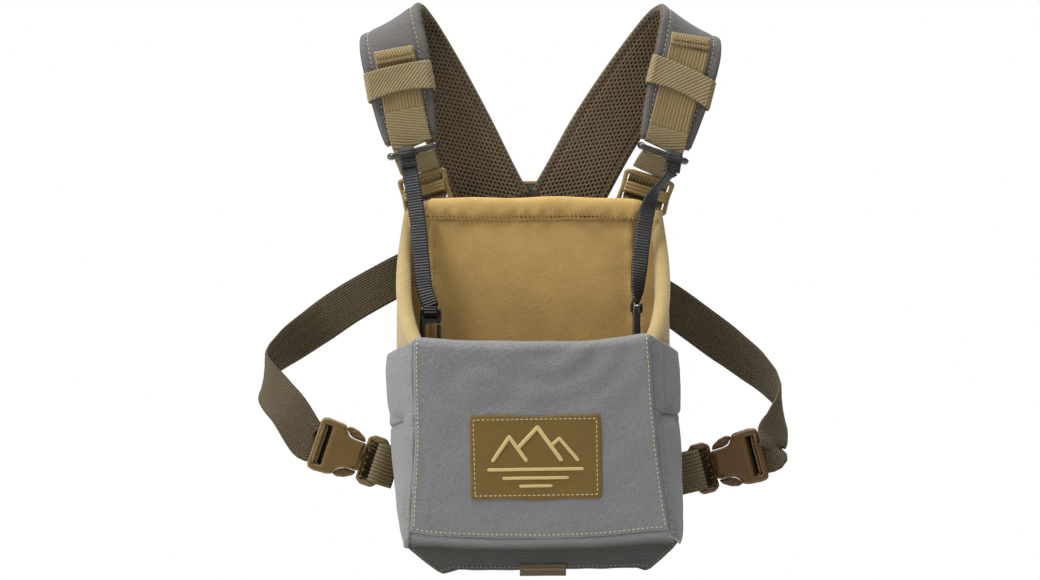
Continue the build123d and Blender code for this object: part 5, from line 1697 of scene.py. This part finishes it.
for side, name in ((-1, "left"), (1, "right")):
    (bx, bz), (dx, dz) = BUCKLE[name]
    u = np.array([dx, 0, dz])
    u = u / np.linalg.norm(u)
    v = np.array([-dz * side, 0, dx * side])
    v = v / np.linalg.norm(v)
    o = np.array([bx, BY, bz])
    M = frame_of(o, u, v)
    face = np.cross(u, v)
    fs = 1.0 if face[1] < 0 else -1.0     # local t towards the camera
    # painted light: the left buckle takes the lighter copy of the plastic, the right buckle the darker, shaded copy
    PL = COYOTE_PAINTED_LIT if side < 0 else COYOTE_PAINTED_SHADE
    # latch half: frame with a web window and guide tongue
    outer = poly_round([(5.6, -12.4), (8.4, -15.6), (15.8, -15.6), (19.3, -12.8), (19.3, 12.8), (15.8, 15.6), (8.4, 15.6), (5.6, 12.4)],
                       [3.0, 3.8, 3.2, 1.6, 1.6, 3.2, 3.8, 3.0], 7)
    hole = [(9.8, -12.2), (16.4, -12.2)]
    for k_ in range(6):
        y0 = -11.6 + k_ * 4.1
        hole += [(16.4, y0), (15.3, y0 + 0.5), (15.3, y0 + 1.5), (16.4, y0 + 2.0)]
    hole += [(16.4, 12.2), (9.8, 12.2)]
    plate(f"latch_frame_{name}", outer, [hole], 8.6, 1.8, M, (PL,), "pack", (f"buckle_latch_{name}",), res=3)
    tongue = raw_plate(poly_round([(18.4, -2.4), (35.5, -2.4), (37, -1.2), (37, 1.2), (35.5, 2.4), (18.4, 2.4)], 0.8, 3), [], 4.8, 0.7, M, 2)
    finish_hard(f"latch_tongue_{name}", tongue, (PL,), "pack", ())
    # outer half: wide at the strap, cut back in a curve where the prong tabs lie, hollow inside
    half_out = [(19.5, 8.6), (26.4, 8.9), (30.6, 9.6), (33.2, 12.4), (34.2, 15.4), (37.2, 16.3), (45.0, 16.8), (49.3, 16.0), (50.2, 12.5)]
    rs = [1.0, 6.0, 4.0, 3.5, 1.4, 4.0, 4.0, 2.6, 2.0]
    outer = poly_round([(a_, -b_) for a_, b_ in half_out] + half_out[::-1], rs + rs[::-1], 5)
    slot_hole = [(42.0, -12.3), (46.6, -12.3), (46.6, 12.3), (42.0, 12.3)]
    cut = [solid_box(M, 16, 40, -12.6, 12.6, -3.3, 3.3)]
    for sv in (-1, 1):
        a0, a1 = sorted((sv * 9.2, sv * 22))
        cut.append(solid_box(M, 19.0, 36.8, a0, a1, -3.3, 3.3))
    plate(f"shell_{name}", outer, [poly_round(slot_hole, 0.8, 4)], 10.8, 1.9, M, (PL,), f"buckle_{name}", (f"buckle_body_{name}",), cut, res=3)
    # strap bar with its ribs, standing in the slot's outer edge
    for k_, (uu_, rr0) in enumerate(((47.3, 1.15), (45.4, 0.9))):
        bar(f"shell_grip_{name}_{k_}", o + u * uu_ + v * -12.6 + face * fs * (4.6 if k_ == 0 else 3.4), o + u * uu_ + v * 12.6 + face * fs * (4.6 if k_ == 0 else 3.4), rr0, (PL,), f"buckle_{name}", sides=12)
    # rolled lip along each curved shoulder
    for sv in (-1, 1):
        pts = np.array([(21.0, sv * 8.2), (26.4, sv * 8.6), (30.2, sv * 9.4), (32.6, sv * 12.0), (33.4, sv * 14.8)])
        rws, _ = smooth_rows(np.array([[a_, b_, 0.0, 0.0] for a_, b_ in pts]), 0.6)
        C = o + u * rws[:, :1] + v * rws[:, 1:2] + face * (fs * 4.75)
        tube(f"shoulder_lip_{name}_{'a' if sv > 0 else 'b'}", C, 0.62, W=face, sides=8, mats=(PL,), body=f"buckle_{name}")
    bar(f"shell_ridge_{name}", o + u * 39.6 + v * -15.2 + face * fs * 4.9, o + u * 39.6 + v * 15.2 + face * fs * 4.9, 0.6, (PL,), f"buckle_{name}", sides=10)
    # prongs: a spring arm that ends in a leaf-shaped press tab, with a pin on it
    for sv, part, jn in ((1, "upper", "up"), (-1, "lower", "low")):
        pts = [(19.9, 9.3), (27.0, 9.6), (30.4, 10.6), (32.6, 13.2), (33.2, 15.2), (30.6, 15.9), (26.2, 14.9), (21.6, 12.2)]
        rs = [0.8, 3.0, 3.0, 2.0, 0.9, 3.0, 5.0, 2.5]
        pts = [(a_, sv * b_) for a_, b_ in pts]
        if sv < 0:
            pts, rs = pts[::-1], rs[::-1]
        me = raw_plate(poly_round(pts, rs, 5), [], 6.2, 1.1, M, 3)
        finish_hard(f"prong_tab_{part}_{name}", me, (PL,), f"prong_{jn}_{name}", (f"prong_{part}_{name}",))
        pin = oval(28.6, sv * 13.2, 1.0, 0.8, 14, 2.0)
        me = raw_plate(pin, [], 7.0, 0.35, M, 2)
        finish_hard(f"prong_pin_{part}_{name}", me, (PL,), f"prong_{jn}_{name}", ())
    # sewn stub on the pouch's side, folded over the latch's bar
    rr_ = 90 - side * math.degrees(math.atan2(dz, abs(dx)))
    x1 = side * 83.35
    root = np.array((x1, BY, bz + (x1 - bx) * (dz / dx)))
    ft_ = face * fs
    pts = [root, root + (o + u * 3.0 - root) * 0.6 + ft_ * 3.0, o + u * 5.0 + ft_ * 5.0, o + u * 8.2 + ft_ * 5.4, o + u * 10.6 + ft_ * 4.6, o + u * 11.5 + ft_ * 1.6,
           o + u * 11.4 - ft_ * 2.6, o + u * 9.8 - ft_ * 5.2, o + u * 6.0 - ft_ * 5.2, o + u * 1.0 - ft_ * 2.6, root - ft_ * 0.6 + u * 1.4]
    rws, _ = smooth_rows(np.array([list(p_) + [0.0] for p_ in pts]), 0.55)
    P, N, U, V = tape_grid(rws[:, :3], np.broadcast_to(v, rws[:, :3].shape), np.full(len(rws), 25.0), 45)
    ribs = 0.24 * np.cos(U * 2 * math.pi / 2.27)
    padded_sheet(f"stub_strip_{name}", P, 1.6, U, V, N=N, edge=0.7, thin=0.5, top=ribs, bottom=ribs, mats=(STUB_WEB,), body="pack", replaces=(f"stub_web_{name}",))
    tail = np.array([o + u * (1.5 + 17.0 * i / 12) - ft_ * (6.9 + 0.15 * math.sin(i)) for i in range(13)])
    P, N, U, V = tape_grid(tail, np.broadcast_to(v, tail.shape), np.full(13, 25.0), 45)
    ribs = 0.22 * np.cos(U * 2 * math.pi / 2.27)
    padded_sheet(f"stub_tail_{name}", P, 1.5, U, V, N=N, edge=0.7, thin=0.5, top=ribs, bottom=ribs, mats=(STUB_WEB,), body="pack")
    # side strap: a long twisted run from the yoke, round the wearer's side, to the buckle
    e_end = o + u * 50.05
    e0 = o + u * 55.0
    roll_ = math.degrees(math.atan2(v[2], v[0]))
    # a webbing reads the same turned by half a turn, so take the one nearest the run before it
    roll_ += 180.0 * round((STRAP[name][-1][4] - roll_) / 180.0)
    st = STRAP[name] + [(e0[0], BY + 0.4, e0[2], 25, roll_), (e_end[0], BY, e_end[2], 25, roll_)]
    P, N, U, V = band_grid(st, 0.9, 37)
    tw = 0.25 * wav(U / 10, V / 14, 201 + side, 2)
    ribs = 0.12 * np.cos(U * 2 * math.pi / 1.56)
    P = P + N * tw[..., None]
    strap = padded_sheet(f"side_strap_web_{name}", P, 1.6, U, V, N=N, edge=0.8, thin=0.5, top=ribs, bottom=ribs, mats=(BROWN_WEB,), replaces=(f"side_strap_{name}",))
    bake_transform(strap)
    # the strap's turn round the shell's bar
    pts = [o + u * 53.0 - face * fs * 1.0, o + u * 50.6 - face * fs * 5.4, o + u * 47.5 - face * fs * 6.3, o + u * 44.6 - face * fs * 5.4, o + u * 42.6 - face * fs * 2.4, o + u * 42.5 + face * fs * 0.8]
    rows_, _ = smooth_rows(np.array([list(p_) + [0] for p_ in pts]), 0.6)
    P, N, U, V = tape_grid(rows_[:, :3], np.broadcast_to(v, rows_[:, :3].shape), np.full(len(rows_), 24.6), 37)
    padded_sheet(f"strap_turn_{name}", P, 1.5, U, V, N=N, edge=0.7, thin=0.5, mats=(BROWN_WEB,), body=f"buckle_{name}")

# ------------------------------------------------------------------ any CAD node still showing gets its slot's own material
BY_NODE = {"lid_magnet": STEEL, "prong": COYOTE_PAINTED_LIT, "clip": BLACK_PL, "tether_ring": BLACK_PL, "ladder_lock": TAN_PL}
for ob in list(scene.objects):
    if ob.type == "MESH" and not ob.hide_render:
        for key, mat in BY_NODE.items():
            if ob.name.startswith(key):
                for slot_ in ob.material_slots:
                    if slot_.material and not slot_.material.use_nodes:
                        slot_.material = mat

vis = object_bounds()


def plain(b):
    return [[float(x) for x in p] for p in b] if hasattr(b[0], "__len__") else [float(x) for x in b]


{"cad": plain(cad_box), "visual": plain(vis)}

for nm in ("lid_shell", "lid_end_shell", "lid_side_flap_left", "lid_side_flap_right", "side_wall_cloth_left", "side_wall_cloth_right",
           "front_wall_cloth", "bottom_cloth", "back_panel_cloth", "back_lining_cloth"):
    if nm in bpy.data.objects:
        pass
    else:
        print("no padded piece called", nm)
